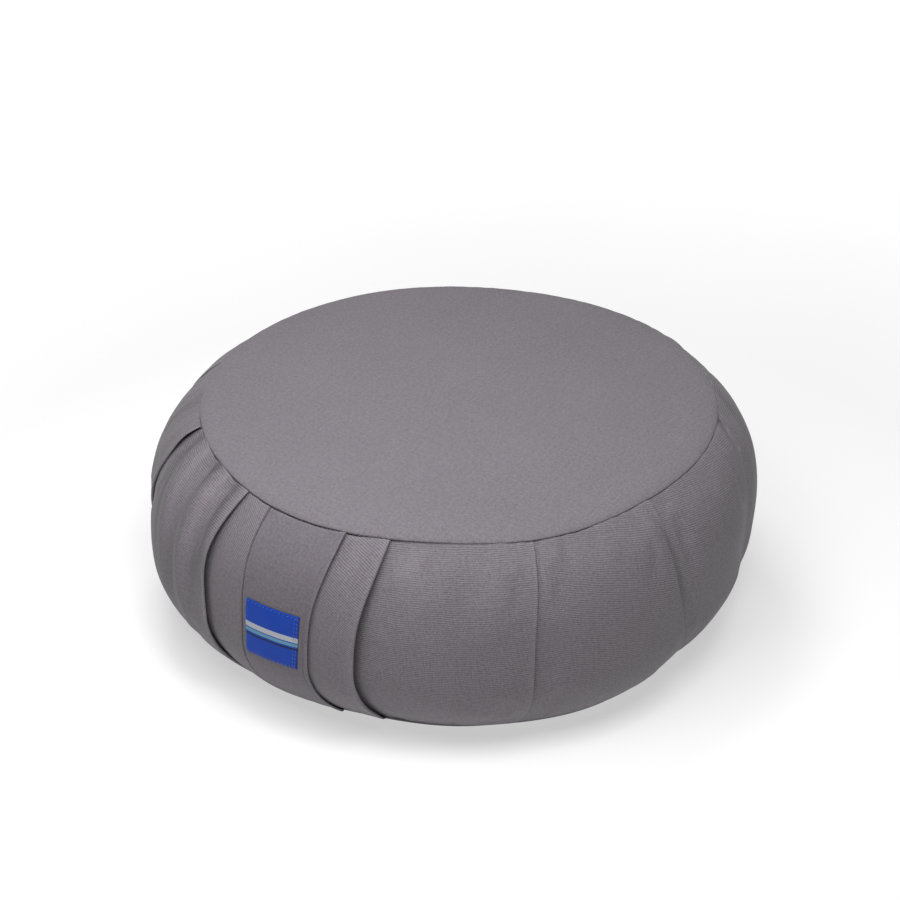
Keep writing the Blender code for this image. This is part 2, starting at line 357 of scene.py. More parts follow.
@dataclass(frozen=True)
class WovenPatch:
    """The label's blue ribbon weave with level stripes, placed by its height above the lower edge, with a
    painted highlight along its left edge.
    """

    name: str
    height: float
    blue: tuple[float, ...] = rgba((0.001, 0.055, 0.440))
    stripes: tuple[Stripe, ...] = (
        Stripe(0.5, 4.2, WHITE),
        Stripe(-2.6, -0.2, PALE_BLUE),
        Stripe(-5.0, -3.8, BLACK),
    )
    pick: float = 0.55 * MM
    soft: float = 0.35 * MM
    ragged: float = 0.5 * MM
    # The width of the painted highlight along the left edge.
    edge: float = 1.0 * MM
    painted_highlight_share: float = 0.35
    relief_depth: float = 0.07 * MM

    def material(self) -> bpy.types.Material:
        """Builds the finish.

        Returns:
            The material.
        """
        graph = Graph(self.name)
        place, across, along = graph.weave_place()
        picks, ends = ((way / self.pick).wave() for way in (along, across))
        grain = graph.noise(place, 1800.0, 1.0)
        above = along + (grain - 0.5) * self.ragged
        colour = self.blue
        for stripe in self.stripes:
            low, high = (0.5 * self.height + side * MM for side in (stripe.low_mm, stripe.high_mm))
            colour = graph.blend(above.within(low, high, self.soft), colour, stripe.colour)
        # Painted highlight: the label's left edge is mixed towards pale blue.
        edge = 1.0 - across.within(self.edge, 1.0, 0.4 * MM)
        colour = graph.blend(edge * self.painted_highlight_share, colour, PALE_BLUE)
        tone = (picks - 0.5) * 0.12 + (ends - 0.5) * 0.10 + (grain - 0.5) * 0.30 + 0.86
        graph.cloth_colour(tone, BLACK, colour)
        graph.finish("Roughness", grain * 0.15 + 0.55)
        graph.relief(picks * 0.5 + ends * 0.5 + grain * 0.4, self.relief_depth)
        graph.finish("Specular IOR Level", 0.2)
        return graph.material


@dataclass(frozen=True)
class Thread:
    """Sewing thread, with the twist of its plies."""

    name: str
    colour: tuple[float, float, float]

    def material(self) -> bpy.types.Material:
        """Builds the finish.

        Returns:
            The material.
        """
        graph = Graph(self.name)
        place = graph.node("ShaderNodeTexCoord", {}, {}, "Object")
        fibre = graph.noise(place, 2600.0, 2.0)
        graph.finish("Base Color", graph.blend(fibre, rgba(self.colour, 0.6), rgba(self.colour, 1.35)))
        graph.finish("Roughness", 0.62)
        graph.relief(fibre, 0.05 * MM)
        return graph.material


@dataclass(frozen=True)
class StudioFloor:
    """The plain pale floor, which glows softly and more so further off, so that it shows white."""

    name: str = "pale_floor"
    near: float = 0.40
    far: float = 1.10
    glow: float = 1.04
    near_glow_share: float = 0.5

    def material(self) -> bpy.types.Material:
        """Builds the finish.

        Returns:
            The material.
        """
        graph = Graph(self.name)
        place = graph.node("ShaderNodeTexCoord", {}, {}, "Object")
        mottle = graph.noise(place, 3.0, 1.0)
        graph.finish("Base Color", graph.blend(mottle, rgba((1, 1, 1), 0.50), rgba((1, 1, 1), 0.54)))
        far = graph.node("ShaderNodeVectorMath", {"operation": "LENGTH"}, {0: place}, "Value")
        away = ((far - self.near) / (self.far - self.near)).maths("ADD", 0.0, clamp=True)
        glow = graph.blend(away, rgba((1, 1, 1), self.near_glow_share), rgba((1, 1, 1)))
        graph.finish("Emission Color", glow)
        graph.finish("Emission Strength", self.glow)
        graph.finish("Roughness", 0.9)
        graph.finish("Specular IOR Level", 0.1)
        return graph.material


# The cushion's form

PUCKER_SEEDS = {Side.UP: 5, Side.DOWN: 8}


def rows(kind: type, *values: tuple) -> tuple:
    """A table of one kind of row."""
    return tuple(kind(*row) for row in values)


class Line(NamedTuple):
    """Four values down the wall, at even heights from its top to its foot."""

    top: float
    upper: float
    lower: float
    foot: float

    def at(self, rise: np.ndarray) -> np.ndarray:
        """The value on a smooth curve through the four.

        Args:
            rise: Where on the wall.

        Returns:
            The value there.
        """
        foot, lower, upper, top = self[::-1]
        knots = np.array([2.0 * foot - lower, foot, lower, upper, top, 2.0 * top - upper])
        placed = np.clip(rise, 0.0, 1.0) * 3.0
        k = np.minimum(placed.astype(int), 2)
        t = placed - k
        before, start, end, after = knots[k], knots[k + 1], knots[k + 2], knots[k + 3]
        bend = 2.0 * before - 5.0 * start + 4.0 * end - after
        twist = 3.0 * (start - end) + after - before
        return start + 0.5 * t * (end - before + t * (bend + t * twist))


class Pleat(NamedTuple):
    """A knife pleat: where its fold runs, its heights in millimetres, its mouth and its twill."""

    line: Line
    over: float
    under: float
    bulge: float
    mouth: Line
    lay: float


class Wander(NamedTuple):
    """How far a ring stands out of round at an azimuth."""

    azimuth: float
    out_mm: float


class Crease(NamedTuple):
    """A soft ridge, or a trough where its height is negative, that fades out from its start."""

    azimuth: float
    height_mm: float
    to_azimuth: float
    to_height_mm: float
    out_mm: float
    width_mm: float


class Gape(NamedTuple):
    """A place where a fold's lip stands up and its mouth is open."""

    fold: int
    height_mm: float
    lift_mm: float
    spread_mm: float


TOP_SEAM_GAP = rows(
    Wander,
    (-60, 0.25), (-44, 0.25), (-30, 0.45), (-16, 0.5), (-10, 0.75),
    (4, 0.95), (18, 0.9), (21, 0.35), (31, 0.15), (43, 0.25),
    (47.5, 0.7), (54, 0.4), (76, 0.35), (88, 0.3), (112, 0.35),
    (150, 0.7), (200, 0.5), (250, 0.8), (280, 0.4),
)

GAPES = rows(
    Gape,
    (0, 133.0, 2.3, 9.0), (1, 110.0, 1.4, 20.0), (1, 14.0, -2.0, 18.0),
    (2, 14.0, -0.8, 12.0), (2, 92.0, 0.8, 26.0), (3, 62.0, 0.6, 22.0),
    (3, 12.0, -0.5, 14.0), (4, 82.0, 1.0, 14.0), (4, 30.0, -0.8, 24.0),
    (5, 60.0, -0.8, 45.0),
)

SHUT = Line(0.2, 0.15, 0.15, 0.2)
SLACK = Line(0.6, 0.3, 0.3, 0.5)

PLEATS = (
    Pleat(Line(-46.1, -49.8, -57.0, -57.0), 1.0, -1.3, 1.2, Line(0.6, 0.25, 0.12, 0.12), -12.0),
    Pleat(Line(-16.7, -17.6, -15.6, -14.0), 2.3, -2.2, 0.0, Line(0.4, 1.9, 2.1, 0.6), 15.0),
    Pleat(Line(19.1, 16.3, 16.2, 18.2), 2.9, -3.3, 1.8, Line(0.2, 2.4, 2.5, 2.4), -15.0),
    Pleat(Line(47.9, 47.2, 47.7, 46.4), 1.0, -1.0, 1.6, Line(0.7, 0.15, 0.12, 0.15), 2.0),
    Pleat(Line(76.9, 76.8, 80.4, 83.5), 0.9, -0.8, 1.5, Line(0.4, 0.12, 0.10, 0.12), -3.0),
    Pleat(Line(112.5, 106.4, 106.0, 108.0), 0.9, -0.8, 1.3, SHUT, 4.0),
    Pleat(Line(139.0, 137.2, 136.2, 137.5), 1.5, -1.5, 1.5, SLACK, -2.0),
    Pleat(Line(165.4, 166.0, 167.2, 166.0), 1.7, -1.7, 1.2, SHUT, 3.0),
    Pleat(Line(197.0, 195.8, 194.6, 196.4), 1.5, -1.5, 1.6, SLACK, -4.0),
    Pleat(Line(224.1, 225.0, 226.4, 225.2), 1.6, -1.6, 1.4, SLACK, 2.0),
    Pleat(Line(255.6, 254.4, 253.8, 255.0), 1.4, -1.4, 1.5, SHUT, -1.0),
    Pleat(Line(283.6, 284.6, 285.8, 284.4), 0.7, -0.9, 1.3, SHUT, 3.0),
)
PLACKET_PLEAT = 1
PLACKET_LEFT = Line(-9.4, -7.7, -7.0, -8.4)
PLACKET_RIGHT = Line(9.9, 7.6, 7.7, 8.8)

TOP_SEAM_WANDER = rows(
    Wander,
    (-67, 1.2), (-31, -1.5), (0, 1.5), (27, -1.2), (50, 2.2),
    (78, -2.0), (124, 1.4), (160, 1.0), (200, -2.6), (240, 0.6),
)
BELLY_WANDER = rows(
    Wander,
    (-80, -2.8), (-50, 0.2), (-20, 0.4), (14, -1.0), (66, 1.2),
    (100, -0.4), (118, 1.2), (144, -2.6), (190, 0.6), (235, -0.6),
)
BOTTOM_SEAM_WANDER = rows(
    Wander,
    (-60, 0.6), (-12, 0.8), (14, -4.4), (38, -1.0), (63, 3.0),
    (90, -2.0), (130, 0.8), (180, -0.8), (230, 1.0),
)

WALL_CREASES = rows(
    Crease,
    (-44.5, 138, -41.0, 60, -1.6, 4.5), (-40.3, 139, -25.4, 8, 2.4, 6.0),
    (-39.7, 139, -39.6, 131, -1.2, 1.8), (-33.1, 140, -24.9, 8, -3.4, 6.0),
    (-28.0, 140, -21.7, 8, 2.6, 5.0), (-22.8, 140, -19.8, 8, -3.2, 5.5),
    (-21.2, 140, -20.7, 133, -1.2, 1.5), (-14.5, 140, -12.0, 118, 0.7, 2.4),
    (-12.2, 140, -10.4, 124, -0.6, 1.8), (-11.8, 134, -10.9, 106, 0.8, 4.5),
    (12.6, 137, 10.8, 118, -0.9, 2.6), (14.2, 132, 14.6, 104, 0.6, 4.5),
    (24.5, 128, 24.0, 96, 0.8, 9.0), (37.1, 126, 34.5, 84, -0.8, 9.0),
    (41.2, 114, 39.0, 86, 0.8, 7.0), (42.3, 86, 37.0, 52, -0.9, 8.0),
    (49.9, 137, 49.2, 98, 1.0, 4.5), (53.8, 134, 55.0, 94, -1.0, 5.0),
    (50.6, 86, 51.2, 50, -0.9, 6.5), (63.7, 139, 62.5, 116, 0.9, 6.0),
    (79.6, 136, 81.0, 108, 0.6, 5.0), (15.8, 139, 13.0, 60, 0.6, 3.4),
    (22.4, 118, 24.0, 62, 0.8, 3.4), (29.0, 139, 30.0, 96, -0.5, 5.0),
    (37.9, 140, 37.0, 126, -1.0, 2.2), (40.8, 140, 40.0, 112, 0.6, 2.8),
    (45.0, 140, 45.4, 108, -0.6, 2.4), (52.4, 140, 53.5, 112, 0.5, 2.8),
    (60.0, 139, 61.0, 96, -0.6, 5.0), (66.0, 140, 67.0, 100, 0.4, 3.5),
    (74.0, 138, 75.5, 62, 0.8, 3.6), (79.8, 139, 82.4, 76, -0.9, 4.0),
    (94.0, 139, 93.0, 108, -0.5, 5.0), (115.5, 140, 108.5, 108, -2.6, 2.6),
    (118.6, 140, 112.5, 104, 1.4, 2.8), (104.0, 139, 100.0, 92, 0.9, 3.0),
    (131.9, 139, 117.0, 106, 1.0, 3.2), (127.5, 139, 115.5, 112, -1.1, 2.8),
    (152.0, 140, 151.0, 96, -1.2, 3.6), (155.6, 140, 155.0, 104, 0.7, 3.2),
    (181.0, 140, 183.0, 88, -1.5, 3.6), (186.5, 140, 187.0, 108, 0.8, 3.2),
    (209.0, 140, 207.0, 98, -1.3, 3.6), (238.0, 140, 240.0, 88, -1.5, 3.8),
    (242.5, 140, 243.5, 104, 0.9, 3.2), (268.0, 140, 266.0, 96, -1.2, 3.4),
    (296.0, 140, 298.0, 92, -1.0, 4.0), (-33.0, 6, -31.0, 46, -1.0, 4.5),
    (33.0, 6, 33.5, 40, -0.7, 5.0), (64.0, 6, 65.0, 42, -0.7, 5.0),
    (97.0, 6, 96.0, 38, -0.8, 5.0), (124.0, 6, 125.0, 40, -0.9, 5.0),
    (176.0, 6, 178.0, 44, -1.1, 4.5), (212.0, 6, 211.0, 38, -0.9, 4.5),
    (232.0, 6, 231.0, 42, -0.9, 5.0), (270.0, 6, 269.0, 40, -1.0, 4.5),
    (290.0, 6, 291.0, 38, -0.9, 5.0),
)

# Painted shade and painted light in place of height: how much darker or lighter the cloth's colour is
# painted along its creases and fold lines.
WALL_PAINTED_SHADING = rows(
    Crease,
    (-60.0, 138, -60.0, 30, -0.17, 16.0), (-42.0, 120, -40.0, 20, -0.16, 18.0),
    (-42.5, 130, -33.0, 40, -0.44, 7.0), (-37.3, 139, -29.0, 50, 0.22, 4.4),
    (-29.8, 139, -26.2, 40, -0.62, 6.0), (-25.4, 139, -23.4, 50, 0.20, 3.6),
    (-20.4, 139, -19.9, 46, -0.48, 5.0), (76.8, 112, 80.2, 40, -0.55, 2.4),
    (114.6, 139, 107.6, 120, -0.60, 2.6), (112.9, 137, 109.3, 100, 0.20, 2.2),
    (126.9, 135, 113.0, 112, -0.16, 3.0), (24.5, 132, 24.0, 92, 0.10, 8.0),
    (33.0, 126, 30.0, 84, -0.08, 9.0), (13.0, 134, 14.0, 92, 0.09, 4.0),
)


@dataclass(frozen=True)
class CushionForm:
    """The smooth cushion under its folds; the seam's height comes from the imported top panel."""

    seam_height: float
    equator_radius: float = 0.1987
    equator_height: float = 0.0577
    top_radius: float = 0.1675
    bottom_radius: float = 0.170
    bottom_height: float = 0.005
    upper_power: float = 3.6
    lower_power: float = 1.86
    top_lean: tuple[float, float] = (0.0052, 0.0034)
    bottom_lean: tuple[float, float] = (0.0020, 0.0013)
    crown: float = 0.0060
    crown_power: float = 2.2
    edge_roll: float = 0.0024
    edge_roll_width: float = 0.014
    flat_radius: float = 0.150
    step_at_seam: float = 0.45
    seam_reach: float = 0.04
    seam_drop: float = 0.4 * MM
    seam_lift: float = 0.6 * MM

    @property
    def wall_top(self) -> float:
        """Where the wall meets the top seam."""
        return self.seam_height - self.seam_drop

    @property
    def wall_foot(self) -> float:
        """Where the wall meets the bottom seam."""
        return self.bottom_height + self.seam_lift

    def height_at(self, rise: np.ndarray) -> np.ndarray:
        """The height above the floor at a rise."""
        return self.wall_foot + (self.wall_top - self.wall_foot) * rise

    def rise_of(self, height: np.ndarray | float) -> np.ndarray:
        """The rise at a height above the floor."""
        return (np.asarray(height) - self.wall_foot) / (self.wall_top - self.wall_foot)

    def profile(self, rise: np.ndarray) -> tuple[np.ndarray, np.ndarray, np.ndarray, np.ndarray]:
        """The smooth wall.

        Args:
            rise: Where on the wall.

        Returns:
            Its radius, its height, and the outward and upward parts of its normal.
        """
        height = self.height_at(rise)
        above = height >= self.equator_height
        span = np.where(above, self.seam_height, self.bottom_height) - self.equator_height
        inset = self.equator_radius - np.where(above, self.top_radius, self.bottom_radius)
        power = np.where(above, self.upper_power, self.lower_power)
        part = np.maximum((height - self.equator_height) / span, 0.0)
        slope = -inset * power * part ** (power - 1.0) / span
        length = np.hypot(1.0, slope)
        return self.equator_radius - inset * part**power, height, 1.0 / length, -slope / length

    def above_equator(self, height: np.ndarray) -> np.ndarray:
        """How far up from the equator to the top seam a height is, from 0 to 1."""
        return np.clip((height - self.equator_height) / (self.seam_height - self.equator_height), 0, 1)

    def place(self, azimuth: np.ndarray, radius: np.ndarray, height: np.ndarray) -> np.ndarray:
        """Points of the cushion, whose top and bottom have shifted a little off the middle.

        Args:
            azimuth: Degrees round the cushion.
            radius: Metres from its shifted middle.
            height: Metres above the floor.

        Returns:
            The points, with x, y and z last.
        """
        azimuth, radius, height = np.broadcast_arrays(azimuth, radius, height)
        turn = np.radians(azimuth)
        above = self.above_equator(height)
        below = np.clip(1.0 - height / self.equator_height, 0.0, 1.0)
        x = above * self.top_lean[0] + below * self.bottom_lean[0] + radius * np.sin(turn)
        y = above * self.top_lean[1] + below * self.bottom_lean[1] - radius * np.cos(turn)
        return np.stack([x, y, height], axis=-1)

    def wander(self, azimuth: np.ndarray, table: tuple[Wander, ...]) -> np.ndarray:
        """How far a ring stands out of round.

        Args:
            azimuth: Where round the ring.
            table: The ring's own wander.

        Returns:
            The metres outwards.
        """
        first = table[0].azimuth
        at = np.array([row.azimuth for row in table] + [first + 360.0], dtype=float)
        out = np.array([row.out_mm for row in table] + [table[0].out_mm])
        azimuth = first + (azimuth - first) % 360.0
        k = np.clip(np.searchsorted(at, azimuth, side="right") - 1, 0, len(table) - 1)
        share = smooth((azimuth - at[k]) / (at[k + 1] - at[k]))
        return (out[k] + (out[k + 1] - out[k]) * share) * MM

    def wall_point(
        self, azimuth: np.ndarray, rise: np.ndarray, offset: np.ndarray, up: np.ndarray | float = 0.0
    ) -> np.ndarray:
        """Points that stand off the smooth wall.

        Args:
            azimuth: Degrees round the cushion.
            rise: Where on the wall.
            offset: Metres outwards along the wall's normal.
            up: Metres up along the wall.

        Returns:
            The points.
        """
        azimuth, rise, offset = np.broadcast_arrays(azimuth, rise, offset)
        up = up + self.open_seam(azimuth, rise)
        radius, height, out, lift = self.profile(rise)
        seam_share = smooth(self.above_equator(height))
        foot_share = 1.0 - smooth(height / self.equator_height)
        belly_share = 1.0 - seam_share - foot_share
        tables = (TOP_SEAM_WANDER, BELLY_WANDER, BOTTOM_SEAM_WANDER)
        for share, table in zip((seam_share, belly_share, foot_share), tables):
            radius = radius + share * self.wander(azimuth, table)
        return self.place(azimuth, radius + offset * out - up * lift, height + offset * lift + up * out)

    def open_seam(self, azimuth: np.ndarray, rise: np.ndarray) -> np.ndarray:
        """How far the top of the wall is drawn down from the seam that stands open."""
        return -self.wander(azimuth, TOP_SEAM_GAP) * smooth((rise - 1.0) / self.seam_reach + 1.0)

    def step_share(self, rise: np.ndarray) -> np.ndarray:
        """A fold stands out most at half height and is sewn nearly flat in the seams."""
        swell = np.sin(np.pi * np.clip(rise, 0.0, 1.0)) ** 0.6
        return self.step_at_seam + (1.0 - self.step_at_seam) * swell

    def edge(self, azimuth: np.ndarray, side: Side) -> np.ndarray:
        """Follows the seam round a panel.

        Args:
            azimuth: Degrees round the cushion.
            side: The top or the bottom panel.

        Returns:
            The panel's radius in metres.
        """
        if side is Side.UP:
            return self.top_radius + self.wander(azimuth, TOP_SEAM_WANDER)
        return self.bottom_radius + self.wander(azimuth, BOTTOM_SEAM_WANDER)

    def panel(self, azimuth: np.ndarray, radius: np.ndarray, side: Side) -> np.ndarray:
        """The height of a panel's outer face.

        Args:
            azimuth: Degrees round the cushion.
            radius: Metres from its middle.
            side: The top or the bottom panel.

        Returns:
            The metres above the floor.
        """
        edge = self.edge(azimuth, side)
        if side is Side.DOWN:
            part = np.maximum(radius - self.flat_radius, 0.0) / (edge - self.flat_radius)
            return self.bottom_height * part**2
        into = np.clip((radius - edge + self.edge_roll_width) / self.edge_roll_width, 0.0, 1.0)
        roll = self.edge_roll * np.sqrt(1.0 - into**2)
        crown = self.crown * (1.0 - np.clip(radius / edge, 0.0, 1.0) ** self.crown_power)
        return self.seam_height + crown + roll

    def pucker(self, azimuth: np.ndarray, seed: int) -> np.ndarray:
        """Uneven little waves round a seam, from about -1 to 1.

        Args:
            azimuth: Where round the seam.
            seed: Which set of waves.

        Returns:
            The waves' height.
        """
        turn = np.radians(azimuth)
        draw = np.random.default_rng(seed)
        waves = np.zeros_like(turn)
        for count in (31, 47, 58, 73, 89, 104):
            waves = waves + draw.uniform(0.3, 1.0) * np.sin(count * turn + draw.uniform(0.0, 6.28))
        gather = 0.55 + 0.45 * np.sin(5.0 * turn + draw.uniform(0.0, 6.28)) * np.sin(2.0 * turn)
        return waves * gather / 2.2


# Meshes


@dataclass
class Grid:
    """Rows of a cloth piece's points, from the lowest up and anticlockwise as seen from above.

    Each point carries its place on the flat cloth and further values by their attribute's name.
    """

    points: np.ndarray
    weave: np.ndarray
    marks: dict[str, np.ndarray]

    def add_rows(self, foot: np.ndarray, head: np.ndarray, step: float) -> None:
        """Adds a row below the first and one above the last, which carry what those two do.

        Args:
            foot: The points of the new lowest row.
            head: The points of the new highest row.
            step: How far the cloth runs on to either.
        """
        self.points = np.concatenate([foot[None], self.points, head[None]])
        away = np.array([0.0, step])
        self.weave = np.concatenate([self.weave[:1] - away, self.weave, self.weave[-1:] + away])
        self.marks = {
            name: np.concatenate([values[:1], values, values[-1:]]) for name, values in self.marks.items()
        }

    def reverse(self) -> None:
        """Turns the order of the rows round."""
        self.points, self.weave = self.points[::-1], self.weave[::-1]
        self.marks = {name: values[::-1] for name, values in self.marks.items()}


def read(items: bpy.types.bpy_prop_collection, name: str, size: int) -> np.ndarray:
    """Reads one property of a mesh's items.

    Args:
        items: The vertices, edges or loops.
        name: The property.
        size: How many numbers it holds.

    Returns:
        The values, in rows of that size.
    """
    values = np.zeros(len(items) * size, dtype=np.float32)
    items.foreach_get(name, values)
    return values.reshape(-1, size)


def add_piece(name: str, mesh: bpy.types.Mesh) -> bpy.types.Object:
    """Adds a mesh to the scene as a smooth object.

    Args:
        name: The object's name.
        mesh: Its mesh.

    Returns:
        The object.
    """
    mesh.shade_smooth()
    made = bpy.data.objects.new(name, mesh)
    bpy.context.scene.collection.objects.link(made)
    return made


class Cloth:
    """Builds cloth pieces from grids of points."""

    @staticmethod
    def piece(name: str, grid: Grid, closed: bool) -> bpy.types.Object:
        """Makes a grid's quads, which face out of the cushion.

        Args:
            name: The piece's name.
            grid: Its points.
            closed: Whether each row runs all the way round.

        Returns:
            The object, linked to the scene.
        """
        points = grid.points
        rows, columns = points.shape[:2]
        index = np.arange(rows * columns).reshape(rows, columns)
        after = np.roll(index, -1, axis=1) if closed else index[:, 1:]
        start = index if closed else index[:, :-1]
        faces = np.stack([start[:-1], after[:-1], after[1:], start[1:]], axis=-1).reshape(-1, 4)
        mesh = bpy.data.meshes.new(name)
        mesh.from_pydata(points.reshape(-1, 3).tolist(), [], faces.tolist())
        layer = mesh.uv_layers.new(name=WEAVE_MAP)
        corners = np.zeros(len(mesh.loops), dtype=np.int32)
        mesh.loops.foreach_get("vertex_index", corners)
        layer.data.foreach_set("uv", grid.weave.reshape(-1, 2)[corners].astype(np.float32).ravel())
        for mark, values in grid.marks.items():
            layer = mesh.attributes.new(mark, "FLOAT", "POINT")
            layer.data.foreach_set("value", values.astype(np.float32).ravel())
        return add_piece(name, mesh)

    @staticmethod
    def apply(piece: bpy.types.Object) -> None:
        """Applies all of a piece's modifiers.

        Args:
            piece: The sheet or the band.
        """
        graph = bpy.context.evaluated_depsgraph_get()
        mesh = bpy.data.meshes.new_from_object(piece.evaluated_get(graph))
        piece.modifiers.clear()
        old = piece.data
        piece.data = mesh
        bpy.data.meshes.remove(old)
        mesh.name = piece.name

    @staticmethod
    def refine(piece: bpy.types.Object) -> None:
        """Divides a piece's faces once, smoothly.

        Args:
            piece: The sheet or the band.
        """
        finer = piece.modifiers.new("finer", "SUBSURF")
        finer.levels = 1
        finer.render_levels = 1
        finer.boundary_smooth = "PRESERVE_CORNERS"
        Cloth.apply(piece)

    @staticmethod
    def thicken(piece: bpy.types.Object, thickness: float) -> None:
        """Gives a sheet its thickness, inwards from the face that shows.

        Args:
            piece: The sheet.
            thickness: Its thickness in metres.
        """
        wall = piece.modifiers.new("thickness", "SOLIDIFY")
        wall.thickness = thickness
        wall.offset = -1.0
        wall.use_even_offset = False
        Cloth.apply(piece)

    @staticmethod
    def dress(piece: bpy.types.Object, finish: bpy.types.Material, slot: str, *nodes: str) -> None:
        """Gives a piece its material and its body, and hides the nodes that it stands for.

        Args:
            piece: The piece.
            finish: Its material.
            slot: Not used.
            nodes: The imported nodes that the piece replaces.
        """
        piece.data.materials.clear()
        piece.data.materials.append(finish)
        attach(piece, "root")
        if nodes:
            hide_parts(*nodes)


# The pieces


@dataclass
class SideBand:
    """The pleated band, its folds turned under as true knife pleats, filled and closed inside."""

    form: CushionForm
    rows: int = 46
    row_crowding: float = 0.45
    panel_columns: int = 30
    fold_crowding: float = 0.55
    weave_shift: float = 0.37
    fold_depth: float = 9.5 * MM
    lip_turn: float = 0.9 * MM
    lip_thickness: float = 1.1 * MM
    gape_reach: float = 0.2
    # How much paler a fold's lip is painted, for rubbing and as a highlight, and how fast that fades.
    fold_wear_and_highlight: float = 0.55
    fold_wear_and_highlight_reach: float = 0.02
    recess: float = 1.3 * MM
    placket_step: tuple[float, float] = (0.22, 0.20)
    # Painted shade where a panel goes in under a fold: how far it reaches, how dark it is, and the mouth at
    # which it is darkest.
    shadow_reach: float = 2.3 * MM
    fold_shadow: float = 2.1
    wide_mouth: float = 2.0
    placket_margin: float = 0.6
    slot_depth: float = 1.5 * MM
    slot_width: float = 0.17
    slot_shift: float = 0.05
    edge_columns: tuple[float, ...] = (-1.1, -0.6, -0.38, -0.24, -0.12, 0.0, 0.2, 0.6)
    turned_in_mm: tuple[tuple[float, float], ...] = ((0.5, 0.15), (1.5, 0.3), (2.6, 0.35))
    seam_step: float = 0.6 * MM
    pucker_reach: float = 11.0 * MM
    pucker_height: float = 0.40 * MM
    swell_height: float = 0.22 * MM
    seam_fade: float = 0.045
    seam_crease_share: float = 0.3
    pressure: float = 4.0
    spare_cloth: float = 0.012
    puff_limit: float = 1.5 * MM
    puff_share: float = 0.97
    puff_columns: float = 6.0
    puff_rows: float = 5.0
    steps: int = 20
    closing_rings_mm: tuple[float, ...] = (4.5, 16.0, 60.0)
    closing_columns: int = 192
    closing_depth: float = 1.6 * MM

    def panel_span(self, k: int, rise: np.ndarray) -> tuple[np.ndarray, np.ndarray]:
        """The azimuths between which one pleat's panel shows."""
        wrap = 360.0 if k + 1 == len(PLEATS) else 0.0
        return PLEATS[k].line.at(rise), PLEATS[(k + 1) % len(PLEATS)].line.at(rise) + wrap

    def creases(self, table: tuple[Crease, ...], azimuth: np.ndarray, height: np.ndarray) -> np.ndarray:
        """What a table of listed creases comes to.

        Args:
            table: The creases.
            azimuth: Degrees round the cushion.
            height: Metres above the floor.

        Returns:
            The sum of the creases, in their own unit.
        """
        total = np.zeros(np.broadcast(azimuth, height).shape)
        round_mm = math.radians(1.0) * self.form.equator_radius / MM
        for crease in table:
            start = np.array([crease.azimuth * round_mm, crease.height_mm])
            end = np.array([crease.to_azimuth * round_mm, crease.to_height_mm])
            run = end - start
            near = (azimuth - crease.azimuth + 180.0) % 360.0 - 180.0 + crease.azimuth
            x, y = near * round_mm - start[0], height / MM - start[1]
            share = (x * run[0] + y * run[1]) / (run @ run)
            aside = np.hypot(x - share * run[0], y - share * run[1])
            width = crease.width_mm * (0.85 + 0.9 * np.clip(share, 0.0, 1.0))
            fade = smooth(1.0 - share) * smooth(3.0 * share + 1.0)
            total += crease.out_mm * hump(aside / width) * fade
        return total

    def puckers(self, azimuth: np.ndarray, rise: np.ndarray) -> np.ndarray:
        """The little waves that the two seams draw into the wall.

        Args:
            azimuth: Degrees round the cushion.
            rise: Where on the wall.

        Returns:
            The metres outwards.
        """
        along = 1.35 * (self.form.wall_top - self.form.wall_foot) / self.pucker_reach
        waves = 0.0
        for side, share in ((Side.UP, 1.0 - rise), (Side.DOWN, rise)):
            waves = waves + self.form.pucker(azimuth, PUCKER_SEEDS[side]) * np.exp(-((share * along) ** 1.3))
        return self.pucker_height * waves

    def surface(self, k: int, rise: np.ndarray, azimuth: np.ndarray) -> np.ndarray:
        """How far a pleat's panel stands off the smooth wall.

        Args:
            k: Which pleat.
            rise: Where on the wall.
            azimuth: Degrees round the cushion.

        Returns:
            The metres outwards.
        """
        start, end = self.panel_span(k, rise)
        part = (azimuth - start) / (end - start)
        share = self.form.step_share(rise) * MM
        low = PLEATS[k].under * share
        fold = (k + 1) % len(PLEATS)
        high = PLEATS[fold].over * share
        bulge = PLEATS[k].bulge * MM * np.sin(np.pi * np.clip(rise, 0.0, 1.0))
        raised = self.gape(fold, rise) * hump((part - 1.0) / self.gape_reach)
        return low + (high - low) * part + 4.0 * bulge * part * (1.0 - part) + raised

    def gape(self, fold: int, rise: np.ndarray) -> np.ndarray:
        """How much further a fold's mouth stands open in places.

        Args:
            fold: Which fold.
            rise: Where on the wall.

        Returns:
            The metres outwards.
        """
        height = self.form.height_at(rise) / MM
        lifted = np.zeros(np.shape(height))
        for row in GAPES:
            if row.fold == fold:
                lifted = lifted + row.lift_mm * hump((height - row.height_mm) / row.spread_mm)
        return lifted * MM

    def wall(self, k: int, rise: np.ndarray, azimuth: np.ndarray) -> np.ndarray:
        """The band's face, lower under the placket and beside its left edge.

        Args:
            k: Which pleat.
            rise: Where on the wall.
            azimuth: Degrees round the cushion.

        Returns:
            The metres that it stands off the smooth wall.
        """
        out = self.surface(k, rise, azimuth)
        if k != PLACKET_PLEAT:
            return out
        left, right = PLACKET_LEFT.at(rise), PLACKET_RIGHT.at(rise)
        covered = smooth((azimuth - left + self.placket_step[0]) / self.placket_step[1])
        back = smooth((azimuth - right) / (self.panel_span(k, rise)[1] - right))
        slot = hump((azimuth - left - self.slot_shift) / self.slot_width)
        return out - self.recess * covered * (1.0 - back) - self.slot_depth * slot

